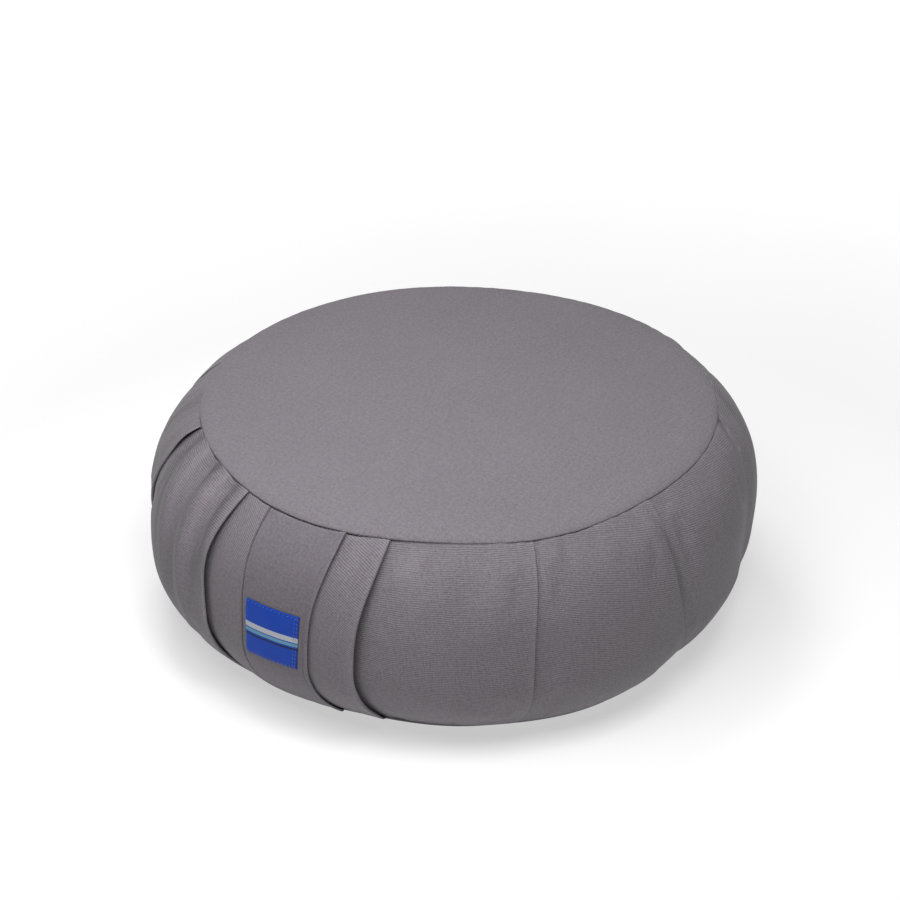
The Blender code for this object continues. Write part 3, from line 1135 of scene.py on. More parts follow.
    def fold(self, k: int, rise: np.ndarray) -> list[tuple[np.ndarray, np.ndarray, float, float]]:
        """One pleat's cloth from the root before it to the root after it.

        Args:
            k: Which pleat.
            rise: The rise of each row.

        Returns:
            Its columns: their azimuths, their offsets, their paleness from rubbing with painted highlight
                and painted shade, and how freely they crease.
        """
        per_metre = np.degrees(1.0 / self.form.profile(rise)[0])
        start, end = self.panel_span(k, rise)
        after = (k + 1) % len(PLEATS)
        share = self.form.step_share(rise)
        last = end - self.lip_turn * per_metre
        columns = []
        for back in (1.0, 0.45):
            azimuth = start - self.fold_depth * per_metre * back
            columns.append((azimuth, PLEATS[k].under * MM * share, 0.0, 0.0))
        for place, part in enumerate(self.shares(k, rise)):
            azimuth = start + (last - start) * part
            # Painted shade where the panel goes in under the fold before it, darker where that mouth is
            # wide; the lip is painted paler.
            inside = hump((azimuth - start) / per_metre / self.shadow_reach)
            deep = np.clip(PLEATS[k].mouth.at(rise) / self.wide_mouth, 0.0, 1.0)
            column_wear_and_shade = self.fold_wear_and_highlight * np.exp((part - 1.0) / self.fold_wear_and_highlight_reach)
            column_wear_and_shade = column_wear_and_shade - self.fold_shadow * inside * deep
            columns.append((azimuth, self.wall(k, rise, azimuth), column_wear_and_shade, min(place / 4.0, 1.0)))
        lip = columns[-1][1]
        next_face = self.wall(after, rise, end - 360.0 * (after == 0))
        mouth = PLEATS[after].mouth.at(rise) * MM + self.gape(after, rise)
        under = np.minimum(next_face + mouth, lip - self.lip_thickness)
        middle, half = 0.5 * (lip + under), 0.5 * (lip - under)
        # The lip's turn is painted paler on its face and painted in shade underneath.
        for turn, column_wear_and_shade, free in ((55.0, 0.9, 1.0), (18.0, 1.0, 0.9), (-18.0, 0.2, 0.7), (-55.0, -1.5, 0.5)):
            out, lift = math.cos(math.radians(turn)), math.sin(math.radians(turn))
            columns.append((last + self.lip_turn * per_metre * out, middle + half * lift, column_wear_and_shade, free))
        root = PLEATS[after].under * MM * share + 0.35 * MM
        # The roots inside the fold are painted in shade.
        for back, free in ((0.0, 0.4), (0.35, 0.0), (0.75, 0.0)):
            azimuth = last - (self.fold_depth - self.lip_turn) * per_metre * back
            columns.append((azimuth, under + (root - under) * smooth(1.4 * back), -self.fold_shadow, free))
        return columns

    def shares(self, k: int, rise: np.ndarray) -> np.ndarray:
        """Where a panel's columns stand on each row, from its start to its lip.

        Args:
            k: Which pleat.
            rise: The rise of each row.

        Returns:
            A row of shares for each column; on the placket's pleat they crowd at its left edge.
        """
        even = np.linspace(0.0, 1.0, self.panel_columns)
        near_folds = (1.0 - self.fold_crowding) * even + self.fold_crowding * smooth(even)
        shares = np.repeat(near_folds[:, None], len(rise), axis=1)
        if k != PLACKET_PLEAT:
            return shares
        start, end = self.panel_span(k, rise)
        near = (PLACKET_LEFT.at(rise) - start + np.array(self.edge_columns)[:, None]) / (end - start)
        before = near[0] * np.linspace(0.0, 1.0, 8, endpoint=False)[:, None]
        rest = self.panel_columns - len(before) - len(near)
        after = near[-1] + (1.0 - near[-1]) * np.linspace(0.0, 1.0, rest + 1)[1:, None]
        return np.concatenate([before, near, after])

    def build(self) -> bpy.types.Object:
        """Builds the band, lets its filling puff it out, and closes it.

        Returns:
            The finished piece.
        """
        rise = crowded(self.rows, self.row_crowding)
        columns = [column for k in range(len(PLEATS)) for column in self.fold(k, rise)]
        azimuth, offset, wear_and_shade, free = (
            np.stack([np.broadcast_to(column[i], rise.shape) for column in columns], axis=1)
            for i in range(4)
        )
        points = self.form.wall_point(azimuth, rise[:, None], offset)
        rises = np.broadcast_to(rise[:, None], azimuth.shape)
        marks = {WEAR_AND_PAINTED_SHADE: wear_and_shade, "free": free, "azimuth": azimuth, "rise": rises}
        grid = Grid(points, self.weave(points), marks)
        self.turn_in(grid, azimuth, offset, len(self.turned_in_mm))
        band = Cloth.piece("pleated_band", grid, True)
        self.puff(band, grid.points)
        Cloth.refine(band)
        self.crease(band)
        self.close(band)
        return band

    def turn_in(self, grid: Grid, azimuth: np.ndarray, offset: np.ndarray, count: int) -> None:
        """Runs a piece of the wall on into both seams.

        Args:
            grid: The piece's rows.
            azimuth: The azimuths of its points.
            offset: How far they stand off the smooth wall.
            count: How many rows are added at each seam.
        """
        for turned in self.turned_in_mm[:count]:
            inwards, up = (length * MM for length in turned)
            foot = self.form.wall_point(azimuth[0], 0.0, offset[0] - inwards, -up)
            head = self.form.wall_point(azimuth[-1], 1.0, offset[-1] - inwards, up)
            grid.add_rows(foot, head, self.seam_step)

    def crease(self, band: bpy.types.Object) -> None:
        """Works the creases, their painted shade and light, the seams' puckers and the unevenness into the
        mesh.

        Args:
            band: The refined band, whose free, azimuth and rise marks are used up.
        """
        mesh = band.data
        marks = ("free", "azimuth", "rise")
        free, azimuth, rise = (
            read(mesh.attributes[mark].data, "value", 1)[:, 0].astype(float) for mark in marks
        )
        height = self.form.height_at(rise)
        left, right = PLACKET_LEFT.at(rise), PLACKET_RIGHT.at(rise)
        covered = (azimuth > left - self.placket_margin) & (azimuth < right)
        free = free * np.where(covered, 0.0, 1.0)
        from_seam = smooth(np.minimum(rise, 1.0 - rise) / self.seam_fade)
        kept = self.seam_crease_share + (1.0 - self.seam_crease_share) * from_seam
        out = self.creases(WALL_CREASES, azimuth, height) * MM * kept
        out = out + self.puckers(azimuth, rise) + self.unevenness(azimuth, rise)
        normals = read(mesh.vertices, "normal", 3)
        moved = read(mesh.vertices, "co", 3) + (out * free)[:, None] * normals
        mesh.vertices.foreach_set("co", moved.astype(np.float32).ravel())
        # Painted shade and painted light along the creases, kept for the colour.
        tone = self.creases(WALL_PAINTED_SHADING, azimuth, height) * free
        mesh.attributes.new(PAINTED_CREASE_SHADING, "FLOAT", "POINT").data.foreach_set("value", tone.astype(np.float32))
        for mark in marks:
            mesh.attributes.remove(mesh.attributes[mark])
        mesh.update()

    def unevenness(self, azimuth: np.ndarray, rise: np.ndarray) -> np.ndarray:
        """Slow swells and dips of the filling under the cloth.

        Args:
            azimuth: Degrees round the cushion.
            rise: Where on the wall.

        Returns:
            The metres outwards.
        """
        turn = np.radians(azimuth)
        draw = np.random.default_rng(3)
        swell = np.zeros_like(turn)
        for count in (7, 11, 16, 23, 29):
            slant = draw.uniform(-5.0, 5.0)
            phase = draw.uniform(0.0, 6.28, 2)
            round_wall = np.sin(count * turn + slant * rise + phase[0])
            swell += round_wall * np.sin(draw.uniform(2.0, 9.0) * rise + phase[1])
        return self.swell_height * swell * np.sin(np.pi * np.clip(rise, 0.0, 1.0))

    def weave(self, points: np.ndarray) -> np.ndarray:
        """The cloth's coordinates at true size, measured along each row from its panel's middle.

        Args:
            points: The band's rows of points.

        Returns:
            The coordinates across and along the cloth.
        """
        per_pleat = points.shape[1] // len(PLEATS)
        steps = np.linalg.norm(np.diff(points, axis=1, append=points[:, :1]), axis=2)
        across = np.cumsum(steps, axis=1) - steps
        up = np.linalg.norm(np.diff(points, axis=0, prepend=points[:1]), axis=2).mean(axis=1).cumsum()
        along = np.broadcast_to(up[:, None], across.shape)
        turned = np.zeros(points.shape[:2] + (2,))
        for k, pleat in enumerate(PLEATS):
            columns = slice(k * per_pleat, (k + 1) * per_pleat)
            middle = across[:, k * per_pleat + 2 + self.panel_columns // 2]
            u, v = across[:, columns] - middle[:, None], along[:, columns]
            turn = math.radians(pleat.lay)
            turned[:, columns, 0] = u * math.cos(turn) - v * math.sin(turn) + self.weave_shift * k
            turned[:, columns, 1] = u * math.sin(turn) + v * math.cos(turn)
        return turned

    def puff(self, band: bpy.types.Object, points: np.ndarray) -> None:
        """Runs a cloth simulation that swells the panels between their folds and seams.

        Args:
            band: The open band.
            points: Its points, as rows.
        """
        rows, columns = points.shape[:2]
        per_pleat = columns // len(PLEATS)
        column = np.arange(columns) % per_pleat - 2
        from_fold = np.minimum(column, self.panel_columns - 1 - column)
        from_seam = np.minimum(np.arange(rows), rows - 1 - np.arange(rows)) - len(self.turned_in_mm)
        free = smooth(from_fold / self.puff_columns)[None, :] * smooth(from_seam / self.puff_rows)[:, None]
        pleat_of = np.arange(columns) // per_pleat
        free = free * np.where(pleat_of == PLACKET_PLEAT, 0.0, 1.0)[None, :]
        group = band.vertex_groups.new(name="held")
        for index, weight in enumerate((1.0 - self.puff_share * free).ravel().tolist()):
            group.add([index], weight, "REPLACE")
        filling = band.modifiers.new("filling", "CLOTH")
        settings = {
            "quality": 4,
            "mass": 0.2,
            "tension_stiffness": 14.0,
            "compression_stiffness": 14.0,
            "shear_stiffness": 6.0,
            "bending_stiffness": 0.8,
            "use_pressure": True,
            "uniform_pressure_force": self.pressure,
            "shrink_min": -self.spare_cloth,
            "vertex_group_mass": group.name,
        }
        for name, value in settings.items():
            setattr(filling.settings, name, value)
        filling.settings.effector_weights.gravity = 0.0
        filling.point_cache.frame_start = 1
        filling.point_cache.frame_end = self.steps
        for step in range(1, self.steps + 1):
            bpy.context.scene.frame_set(step)
        graph = bpy.context.evaluated_depsgraph_get()
        move = read(band.evaluated_get(graph).data.vertices, "co", 3) - points.reshape(-1, 3)
        far = np.linalg.norm(move, axis=1, keepdims=True)
        LOG.info("the filling would move the band %.1f mm at most", far.max() / MM)
        move *= self.puff_limit * np.tanh(far / self.puff_limit) / np.maximum(far, 1e-9)
        band.modifiers.remove(filling)
        band.vertex_groups.remove(group)
        band.data.vertices.foreach_set("co", (points.reshape(-1, 3) + move).astype(np.float32).ravel())
        band.data.update()
        bpy.context.scene.frame_set(1)

    def close(self, band: bpy.types.Object) -> None:
        """Closes the band over and under its filling, out of sight behind the two panels.

        Args:
            band: The open band.
        """
        bm = bmesh.new()
        bm.from_mesh(band.data)
        form = self.form
        for side in Side:
            top = side is Side.UP
            rim = [e for e in bm.edges if e.is_boundary and (e.verts[0].co.z > form.equator_height) == top]
            azimuth = np.linspace(0.0, 360.0, self.closing_columns, endpoint=False)
            rings = []
            for back in self.closing_rings_mm:
                radius = form.edge(azimuth, side) - back * MM
                level = form.panel(azimuth, radius, side) - side.value * self.closing_depth
                rings.append([bm.verts.new(p) for p in form.place(azimuth, radius, level)])
            pole = bm.verts.new(form.place(0.0, 0.0, level.max() if top else level.min()))
            for outer, inner in zip(rings, rings[1:]):
                for i in range(len(outer)):
                    j = (i + 1) % len(outer)
                    bm.faces.new((outer[i], outer[j], inner[j], inner[i]))
            for i, vert in enumerate(rings[-1]):
                bm.faces.new((vert, rings[-1][(i + 1) % len(azimuth)], pole))
            ring = [bm.edges.get((rings[0][i - 1], rings[0][i])) for i in range(len(azimuth))]
            bmesh.ops.triangle_fill(bm, edges=rim + ring, use_beauty=True, normal=(0.0, 0.0, 1.0))
            LOG.info("band closed behind %d edges, facing %s", len(rim), side.name.lower())
        bmesh.ops.recalc_face_normals(bm, faces=bm.faces)
        bm.to_mesh(band.data)
        bm.free()
        band.data.shade_smooth()


@dataclass
class RoundPanel:
    """A round of cloth with its edge turned into the seam."""

    form: CushionForm
    side: Side
    columns: int = 384
    cloth: float = 0.9 * MM
    pucker_reach: float = 11.0 * MM
    pucker_height: float = 0.22 * MM
    wear_and_painted_shade: float = 0.25
    roll_mm: tuple[tuple[float, float], ...] = ((0.32, 0.3), (0.40, 0.85), (0.1, 1.6), (-0.7, 2.5))

    def build(self) -> bpy.types.Object:
        """Builds the panel.

        Returns:
            The finished piece.
        """
        form = self.form
        up = self.side is Side.UP
        azimuth = np.linspace(0.0, 360.0, self.columns, endpoint=False)
        near_edge = 14.0 * np.linspace(0.045, 1.0, 12) ** 1.6
        backs = np.concatenate([near_edge, np.linspace(20.0, 160.0, 20)])
        rows = []
        for back in backs[::-1] * MM:
            radius = form.edge(azimuth, self.side) * (1.0 - back / form.top_radius)
            height = form.panel(azimuth, radius, self.side)
            if up:
                fade = math.exp(-((back / self.pucker_reach) ** 1.2))
                height = height + self.pucker_height * fade * form.pucker(azimuth, PUCKER_SEEDS[self.side])
            rows.append(form.place(azimuth, radius, height))
        lip = rows[-1]
        inward = np.array([0.0, 0.0, -1.0]) * self.side.value
        middle = form.place(0.0, 0.0, lip[..., 2].mean())
        outward = (lip - middle) * np.array([1.0, 1.0, 0.0])
        outward /= np.linalg.norm(outward, axis=1, keepdims=True)
        for out, down in self.roll_mm:
            rows.append(lip + outward * out * MM + inward * down * MM)
        points = np.stack(rows)
        wear_and_shade = np.zeros(points.shape[:2])
        # On this panel the edge mark only makes the rolled edge paler, from rubbing.
        wear_and_shade[-5:-2] = self.wear_and_painted_shade
        grid = Grid(points, points[..., :2].copy(), {WEAR_AND_PAINTED_SHADE: wear_and_shade})
        if up:
            grid.reverse()
        panel = Cloth.piece("top_round" if up else "bottom_round", grid, True)
        self.close(panel, len(points) - 1 if up else 0)
        Cloth.thicken(panel, self.cloth)
        return panel

    def close(self, panel: bpy.types.Object, row: int) -> None:
        """Closes the small hole at the panel's middle.

        Args:
            panel: The panel.
            row: Its innermost row.
        """
        bm = bmesh.new()
        bm.from_mesh(panel.data)
        bm.verts.ensure_lookup_table()
        ring = [bm.verts[row * self.columns + i] for i in range(self.columns)]
        uv = bm.loops.layers.uv[WEAVE_MAP]
        middle = sum((v.co for v in ring), Vector()) / len(ring)
        pole = bm.verts.new(middle)
        for i, vert in enumerate(ring):
            after = ring[(i + 1) % len(ring)]
            corners = (vert, after, pole) if self.side is Side.UP else (after, vert, pole)
            face = bm.faces.new(corners)
            face.smooth = True
            for loop in face.loops:
                loop[uv].uv = loop.vert.co.xy
        bm.to_mesh(panel.data)
        bm.free()


@dataclass
class Placket:
    """The strip over the closure, its right edge folded under and topstitched."""

    band: SideBand
    rows: int = 110
    cloth: float = 0.9 * MM
    hem: float = 3.0 * MM
    hem_lift: float = 0.55 * MM
    stitch_dip: float = 0.50 * MM
    left_dip: float = 2.3 * MM
    right_roll: float = 0.5 * MM
    lifted_mm: Line = Line(2.0, 0.9, 0.7, 0.5)
    tuck_depth: float = 1.2 * MM
    fold_depth: float = 0.3 * MM
    left_columns_mm: tuple[float, ...] = (0.0, 0.2, 0.4, 0.6, 0.85, 1.2, 2.0, 3.4)
    right_columns_mm: tuple[float, ...] = (
        6.4, 5.2, 4.4, 3.9, 3.5, 3.2, 2.9, 2.6, 2.2, 1.7, 1.2, 0.8, 0.4, 0.15, 0.0,
    )
    middle_columns: int = 24
    fold_wear_and_highlight: tuple[float, ...] = (0.25, 0.6, 0.8, 0.5, 0.2)

    def offset(self, rise: np.ndarray, azimuth: np.ndarray) -> np.ndarray:
        """How far the placket's face stands off the smooth wall.

        Args:
            rise: Where on the wall.
            azimuth: Degrees round the cushion.

        Returns:
            The metres outwards.
        """
        radius = self.band.form.profile(rise)[0]
        from_left = (azimuth - PLACKET_LEFT.at(rise)) * np.radians(1.0) * radius
        from_right = (PLACKET_RIGHT.at(rise) - azimuth) * np.radians(1.0) * radius
        out = self.band.surface(PLACKET_PLEAT, rise, azimuth)
        out = out - self.left_dip * hump(from_left / (0.5 * MM))
        out = out + self.hem_lift * smooth((self.hem + 0.3 * MM - from_right) / (1.2 * MM))
        out = out - self.stitch_dip * hump((from_right - self.hem) / (0.8 * MM))
        out = out + self.lifted_mm.at(rise) * MM * hump(from_right / (5.0 * MM))
        out = out - self.right_roll * hump(from_right / (0.55 * MM))
        height = self.band.form.height_at(rise) / MM
        tuck = hump((azimuth + 8.0) / 1.2) * hump((height - 137.0) / 6.0)
        fold = hump((azimuth - 3.0) / 2.2) * smooth((height - 100.0) / 38.0)
        out = out - self.tuck_depth * tuck - self.fold_depth * fold
        return out + 0.45 * self.band.puckers(azimuth, rise)

    def build(self) -> bpy.types.Object:
        """Builds the placket.

        Returns:
            The finished piece.
        """
        form = self.band.form
        rise = np.linspace(0.0, 1.0, self.rows)[:, None]
        radius = form.profile(rise)[0]
        left, right = PLACKET_LEFT.at(rise), PLACKET_RIGHT.at(rise)
        width = (right - left) * np.radians(1.0) * radius
        near, far = (np.array(columns) * MM for columns in (self.left_columns_mm, self.right_columns_mm))
        middle = np.linspace(0.0, 1.0, self.middle_columns + 2)[1:-1]
        inner = near[-1] + (width - far[0] - near[-1]) * middle[None, :]
        across = np.concatenate([near + 0.0 * width, inner, width - far], axis=1)
        azimuth = left + np.degrees(across / radius)
        offset = self.offset(rise, azimuth)
        points = form.wall_point(azimuth, rise, offset)
        up = np.linalg.norm(np.diff(points, axis=0, prepend=points[:1]), axis=2).mean(axis=1).cumsum()
        weave = np.stack([across - 0.5 * width, np.broadcast_to(up[:, None], across.shape)], axis=-1)
        # The folded right edge is painted paler, for rubbing and as a highlight.
        wear_and_shade = np.zeros(across.shape)
        wear_and_shade[:, -len(self.fold_wear_and_highlight):] = self.fold_wear_and_highlight
        grid = Grid(points, weave, {WEAR_AND_PAINTED_SHADE: wear_and_shade})
        self.band.turn_in(grid, azimuth, offset, 2)
        placket = Cloth.piece("placket_strip", grid, False)
        Cloth.thicken(placket, self.cloth)
        return placket


@dataclass
class Label:
    """The woven patch, its edges turned under and sewn down."""

    placket: Placket
    columns: int = 56
    rows: int = 52
    cloth: float = 0.7 * MM
    gap: float = 0.25 * MM
    width_share: float = 1.06
    stitch_inset: float = 0.038
    top_left: tuple[float, float] = (-6.4, 92.0)
    top_right: tuple[float, float] = (5.6, 93.2)
    bottom_right: tuple[float, float] = (5.5, 55.6)
    bottom_left: tuple[float, float] = (-5.85, 53.2)

    @property
    def height(self) -> float:
        """The label's own height."""
        return (self.top_left[1] - self.bottom_left[1]) * MM

    def spot(self, across: np.ndarray, along: np.ndarray, out: float = 0.0) -> np.ndarray:
        """Points on the label's face.

        Args:
            across: The share of its width from the left edge.
            along: The share of its height from the lower edge.
            out: Metres off its face.

        Returns:
            The points.
        """
        form = self.placket.band.form
        low = [a + (b - a) * across for a, b in zip(self.bottom_left, self.bottom_right)]
        high = [a + (b - a) * across for a, b in zip(self.top_left, self.top_right)]
        azimuth = low[0] + (high[0] - low[0]) * along
        rise = form.rise_of((low[1] + (high[1] - low[1]) * along) * MM)
        from_edge = np.minimum(np.minimum(across, 1.0 - across), np.minimum(along, 1.0 - along))
        fold = 0.45 * MM * hump(from_edge / 0.012)
        dip = 0.22 * MM * hump((from_edge - self.stitch_inset) / 0.012)
        swell = 0.5 * MM * np.sin(np.pi * across) * np.sin(np.pi * along)
        ripple = 0.10 * MM * np.sin(13.0 * across + 2.0) * np.sin(9.0 * along + 1.0)
        stand = self.cloth + self.gap - fold - dip + swell + ripple + out
        return form.wall_point(azimuth, rise, self.placket.offset(rise, azimuth) + stand)

    def build(self) -> bpy.types.Object:
        """Builds the label.

        Returns:
            The finished piece.
        """
        across, along = np.meshgrid(crowded(self.columns, 0.4), crowded(self.rows, 0.4))
        points = self.spot(across, along)
        weave = np.stack([across * self.height * self.width_share, along * self.height], axis=-1)
        label = Cloth.piece("woven_label", Grid(points, weave, {}), False)
        Cloth.thicken(label, self.cloth)
        return label


class Stitch(NamedTuple):
    """A stitch's length, width and height, and the pitch from one to the next."""

    length: float
    width: float
    height: float
    pitch: float


@dataclass
class Stitching:
    """Stitches, modelled once from a sphere and copied along their seams."""

    band: SideBand
    placket: Placket
    label: Label
    top_stitch: Stitch = Stitch(2.5 * MM, 0.42 * MM, 0.34 * MM, 3.3 * MM)
    label_stitch: Stitch = Stitch(2.1 * MM, 0.40 * MM, 0.34 * MM, 2.9 * MM)
    top_seam: Stitch = Stitch(2.2 * MM, 0.42 * MM, 0.38 * MM, 3.0 * MM)
    bottom_seam: Stitch = Stitch(2.2 * MM, 0.42 * MM, 0.38 * MM, 3.4 * MM)
    topstitch_length: float = 0.160
    label_inset: float = 0.038
    label_ends: float = 0.02
    thread_depth: float = 0.9 * MM
    drawn_tight: tuple[float, float] = (31.0, 45.0)
    tight_depth: float = 0.15 * MM
    seam_lift: float = 0.45 * MM
    draw: np.random.Generator = field(default_factory=lambda: np.random.default_rng(21))

    def model(self, stitch: Stitch) -> tuple[np.ndarray, list]:
        """Models one stitch, lying along X with its back up.

        Args:
            stitch: Its size.

        Returns:
            Its points and its faces.
        """
        bpy.ops.object.select_all(action="DESELECT")
        bpy.ops.mesh.primitive_uv_sphere_add(segments=8, ring_count=7, radius=0.5)
        made = bpy.context.object
        bpy.ops.object.mode_set(mode="EDIT")
        bpy.ops.mesh.select_all(action="SELECT")
        bpy.ops.transform.rotate(value=math.pi / 2.0, orient_axis="Y", center_override=(0.0, 0.0, 0.0))
        bpy.ops.transform.resize(value=stitch[:3], center_override=(0.0, 0.0, 0.0))
        bpy.ops.object.mode_set(mode="OBJECT")
        points = np.array([v.co[:] for v in made.data.vertices])
        faces = [tuple(p.vertices) for p in made.data.polygons]
        bpy.data.objects.remove(made, do_unlink=True)
        points[:, 2] -= 1.1 * stitch.height * (2.0 * points[:, 0] / stitch.length) ** 2
        return points, faces

    def sew(self, name: str, spots: Sequence[tuple], stitch: Stitch) -> bpy.types.Object:
        """Copies a stitch to each spot.

        Args:
            name: The piece's name.
            spots: The middle, the direction and the outward direction of each stitch.
            stitch: Its size.

        Returns:
            The stitches, joined in one piece.
        """
        shape, faces = self.model(stitch)
        points, corners = [], []
        for middle, along, out in spots:
            along = along / np.linalg.norm(along)
            side = np.cross(out, along)
            side /= np.linalg.norm(side)
            out = np.cross(along, side)
            scale = self.draw.uniform(0.9, 1.08)
            turned = scale * shape @ np.stack([along, side, out])
            corners += [tuple(len(points) * len(shape) + c for c in face) for face in faces]
            points.append(turned + middle)
        mesh = bpy.data.meshes.new(name)
        mesh.from_pydata(np.concatenate(points).tolist(), [], corners)
        return add_piece(name, mesh)

    @staticmethod
    def along_path(
        path: Callable[[float, float], np.ndarray], sink: float, length: float, pitch: float
    ) -> list[tuple]:
        """Spots at an even pitch along a path.

        Args:
            path: The point at each share of the way, and so far off the cloth.
            sink: How far off the cloth the stitches' middles are.
            length: The path's length.
            pitch: From one stitch to the next.

        Returns:
            The spots.
        """
        count = max(int(length / pitch), 1)
        spots = []
        for i in range(count):
            share = (i + 0.5) / count
            step = 0.25 / count
            ahead = path(min(share + step, 1.0), sink) - path(max(share - step, 0.0), sink)
            middle = path(share, sink)
            spots.append((middle, ahead, path(share, 1.0 * MM) - middle))
        return spots

    def topstitch(self) -> bpy.types.Object:
        """The line of stitches beside the placket's folded edge.

        Returns:
            The stitches, as one piece.
        """
        form = self.band.form

        def spot(share: float, out: float) -> np.ndarray:
            """Finds a point beside the placket's folded edge.

            Args:
                share: The share of the way up.
                out: Metres off the placket.

            Returns:
                The point.
            """
            rise = np.array([0.02 + 0.96 * share])
            radius = form.profile(rise)[0]
            azimuth = PLACKET_RIGHT.at(rise) - np.degrees(self.placket.hem / radius)
            offset = self.placket.offset(rise, azimuth)
            return form.wall_point(azimuth, rise, offset + out)[0]

        spots = self.along_path(spot, 0.08 * MM, self.topstitch_length, self.top_stitch.pitch)
        return self.sew("placket_topstitch", spots, self.top_stitch)

    def label_stitches(self) -> bpy.types.Object:
        """The running stitches that hold the label, two lines of them at its right edge.

        Returns:
            The stitches, as one piece.
        """
        low, high = self.label_ends, 1.0 - self.label_ends
        level = [((low, at), (high, at)) for at in (1.0 - self.label_inset, self.label_inset)]
        upright = [((at, low), (at, high)) for at in (0.965, 0.925)]
        spots = []
        for start, end in level + upright:
            a, b = np.array(start), np.array(end)

            def path(share: float, out: float) -> np.ndarray:
                """The point at a share of the line, so far off the label."""
                across, along = a + (b - a) * share
                return self.label.spot(np.array(across), np.array(along), out)

            spots += self.along_path(path, 0.06 * MM, self.label.height, self.label_stitch.pitch)
        return self.sew("label_stitches", spots, self.label_stitch)

    def seam_stitches(self) -> bpy.types.Object:
        """The thread that shows in the two seams, standing proud where the seam is drawn open.

        Returns:
            The stitches, as one piece.
        """
        form = self.band.form
        spots = []
        for side, radius, stitch in (
            (Side.UP, form.top_radius, self.top_seam),
            (Side.DOWN, form.bottom_radius, self.bottom_seam),
        ):
            top = side is Side.UP
            rise, lift = np.array([float(top)]), self.seam_lift * side.value
            count = int(2.0 * math.pi * radius / stitch.pitch)
            for i in range(count):
                azimuth = 360.0 * (i + self.draw.uniform(-0.12, 0.12)) / count
                tight = top and self.drawn_tight[0] < azimuth < self.drawn_tight[1]
                depth = self.tight_depth if tight else self.thread_depth
                k, at = self.pleat_of(azimuth)
                face = self.band.surface(k, rise, np.array([at]))
                middle = form.wall_point(np.array([at]), rise, face - depth, lift)[0]
                above = form.wall_point(np.array([at]), rise, face + 1.0 * MM, lift)[0]
                ahead = form.wall_point(np.array([at + 0.4]), rise, face - depth, lift)[0] - middle
                slant = np.array([0.0, 0.0, 0.5 * np.linalg.norm(ahead)])
                spots.append((middle, ahead + slant, above - middle))
        return self.sew("seam_thread", spots, self.top_seam)

    @staticmethod
    def pleat_of(azimuth: float) -> tuple[int, float]:
        """Finds the pleat whose panel shows at an azimuth in a seam.

        Args:
            azimuth: Degrees round the cushion.

        Returns:
            The pleat's number and the azimuth within its turn.
        """
        first = PLEATS[0].line.top
        at = first + (azimuth - first) % 360.0
        return max(k for k, pleat in enumerate(PLEATS) if pleat.line.top <= at), at


# The studio


class Softbox(NamedTuple):
    """A square soft light: its name, where it hangs, and its power in watts."""

    name: str
    place: tuple[float, float, float]
    watts: float


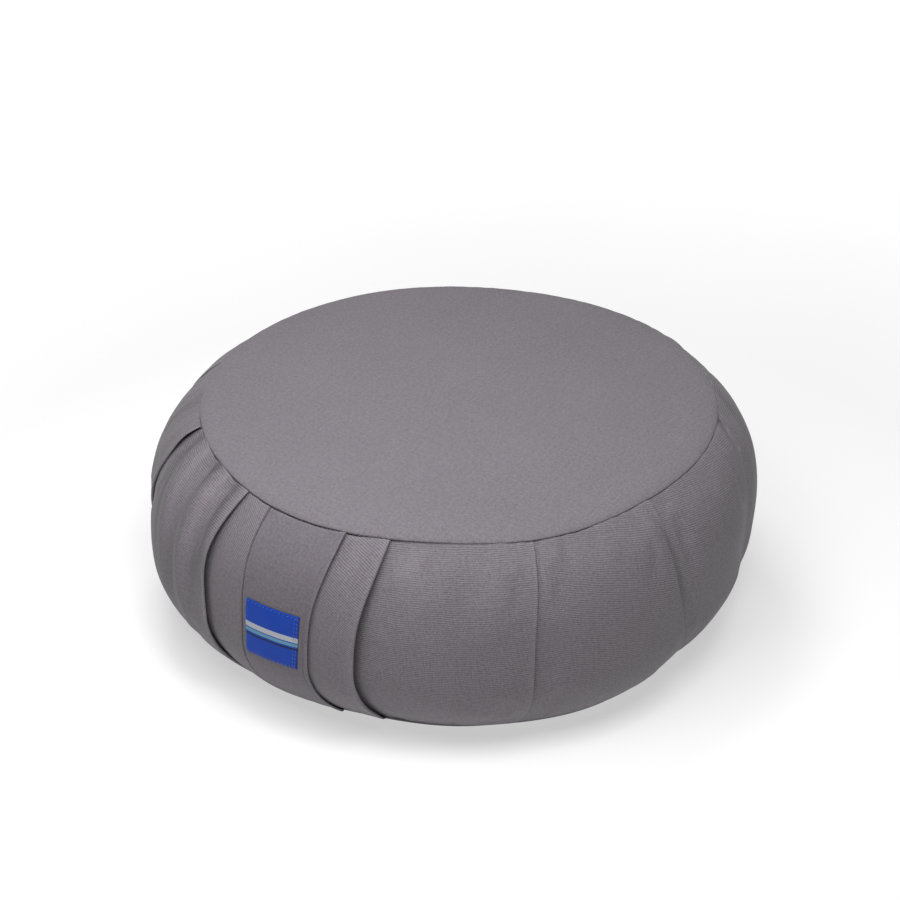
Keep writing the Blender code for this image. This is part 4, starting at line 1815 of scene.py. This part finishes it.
@dataclass
class Studio:
    """The camera, the soft lights and the floor."""

    azimuth: float = 33.1
    elevation: float = 31.03
    roll: float = -0.328
    distance: float = 1.4577
    target: tuple[float, float, float] = (0.0007, 0.0004, 0.1034)
    lens: float = 88.04
    lit_point: tuple[float, float, float] = (0.0, 0.0, 0.07)
    light_size: float = 0.45
    lights: tuple[Softbox, ...] = (
        Softbox("key_light", (0.0, -0.36, 0.694), 3.3),
        Softbox("side_light", (0.403, -0.232, 1.067), 5.7),
        Softbox("back_light", (-0.403, 0.232, 1.067), 4.9),
    )
    world_light: float = 0.0
    floor_size: float = 8.0
    floor_height: float = -0.0003

    def camera(self) -> None:
        """Sets up the camera at the photograph's angle."""
        turn, lift = math.radians(self.azimuth), math.radians(self.elevation)
        right = np.array([math.cos(turn), math.sin(turn), 0.0])
        back = np.array([math.cos(lift) * math.sin(turn), -math.cos(lift) * math.cos(turn), math.sin(lift)])
        up = np.cross(back, right)
        tilt = math.radians(self.roll)
        across = right * math.cos(tilt) + up * math.sin(tilt)
        above = up * math.cos(tilt) - right * math.sin(tilt)
        lens = bpy.data.cameras.new("camera")
        lens.lens = self.lens
        lens.sensor_width = 36.0
        camera = bpy.data.objects.new("camera", lens)
        placed = np.eye(4)
        placed[:3, 0], placed[:3, 1], placed[:3, 2] = across, above, back
        placed[:3, 3] = np.array(self.target) + back * self.distance
        camera.matrix_world = Matrix(placed.tolist())
        bpy.context.scene.collection.objects.link(camera)
        bpy.context.scene.camera = camera

    def hang(self, softbox: Softbox) -> None:
        """Hangs a soft light that faces the cushion.

        Args:
            softbox: The light.
        """
        light = bpy.data.lights.new(softbox.name, "AREA")
        light.shape = "SQUARE"
        light.size = self.light_size
        light.energy = softbox.watts
        lamp = bpy.data.objects.new(softbox.name, light)
        lamp.location = softbox.place
        facing = Vector(self.lit_point) - Vector(softbox.place)
        lamp.rotation_euler = facing.to_track_quat("-Z", "Y").to_euler()
        bpy.context.scene.collection.objects.link(lamp)

    def build(self) -> None:
        """Sets up the camera, the lights, the surroundings and the floor."""
        self.camera()
        for softbox in self.lights:
            self.hang(softbox)
        world = bpy.data.worlds.new("studio")
        world.use_nodes = True
        background = world.node_tree.nodes["Background"]
        background.inputs["Color"].default_value = (1.0, 1.0, 1.0, 1.0)
        background.inputs["Strength"].default_value = self.world_light
        bpy.context.scene.world = world
        bpy.context.scene.view_settings.view_transform = "Standard"
        bpy.ops.object.select_all(action="DESELECT")
        bpy.ops.mesh.primitive_plane_add(size=self.floor_size, location=(0.0, 0.0, self.floor_height))
        floor = bpy.context.object
        floor.name = "studio_floor"
        bpy.ops.object.transform_apply(location=True, rotation=False, scale=False)
        floor.data.materials.append(StudioFloor().material())


def main() -> None:
    """Builds the cushion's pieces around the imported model, in order."""
    logging.basicConfig(level=logging.INFO, format="%(message)s")
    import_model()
    Studio().build()
    sheet = 2.0 * MM
    form = CushionForm(seam_height=float(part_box("top_panel")[0][2]) + sheet)
    LOG.info("seam at %.2f mm", form.seam_height / MM)
    cotton = CottonTwill("cotton_twill", rib_contrast=0.50, rib_pitch=1.35 * MM).material()
    top_cotton = CottonTwill("cotton_top", lay=Lay.UPRIGHT).material()
    strip_cotton = CottonTwill("cotton_placket", colour=(0.151, 0.137, 0.155), rib_contrast=0.16).material()

    band = SideBand(form)
    side = band.build()
    Cloth.dress(side, cotton, "cotton", "side_band")
    LOG.info("%s, %d faces", side.name, len(side.data.polygons))

    for way, node in ((Side.UP, "top_panel"), (Side.DOWN, "bottom_panel")):
        panel = RoundPanel(form, way).build()
        Cloth.dress(panel, top_cotton, "cotton", node)
        LOG.info("%s, %d faces", panel.name, len(panel.data.polygons))

    placket = Placket(band)
    strip = placket.build()
    Cloth.dress(strip, strip_cotton, "cotton", "placket")
    label = Label(placket)
    patch = label.build()
    Cloth.dress(patch, WovenPatch("blue_ribbon", height=label.height).material(), "label_weave", "label")
    for piece in (strip, patch):
        LOG.info("%s, %d faces", piece.name, len(piece.data.polygons))

    sewing = Stitching(band, placket, label)
    grey = Thread("grey_thread", (0.172, 0.161, 0.176)).material()
    tan = Thread("tan_thread", (0.12, 0.12, 0.13)).material()
    for stitches, thread in (
        (sewing.topstitch(), grey),
        (sewing.label_stitches(), tan),
        (sewing.seam_stitches(), grey),
    ):
        Cloth.dress(stitches, thread, "cotton")
        LOG.info("%s, %d faces", stitches.name, len(stitches.data.polygons))


if __name__ == "__main__":
    main()
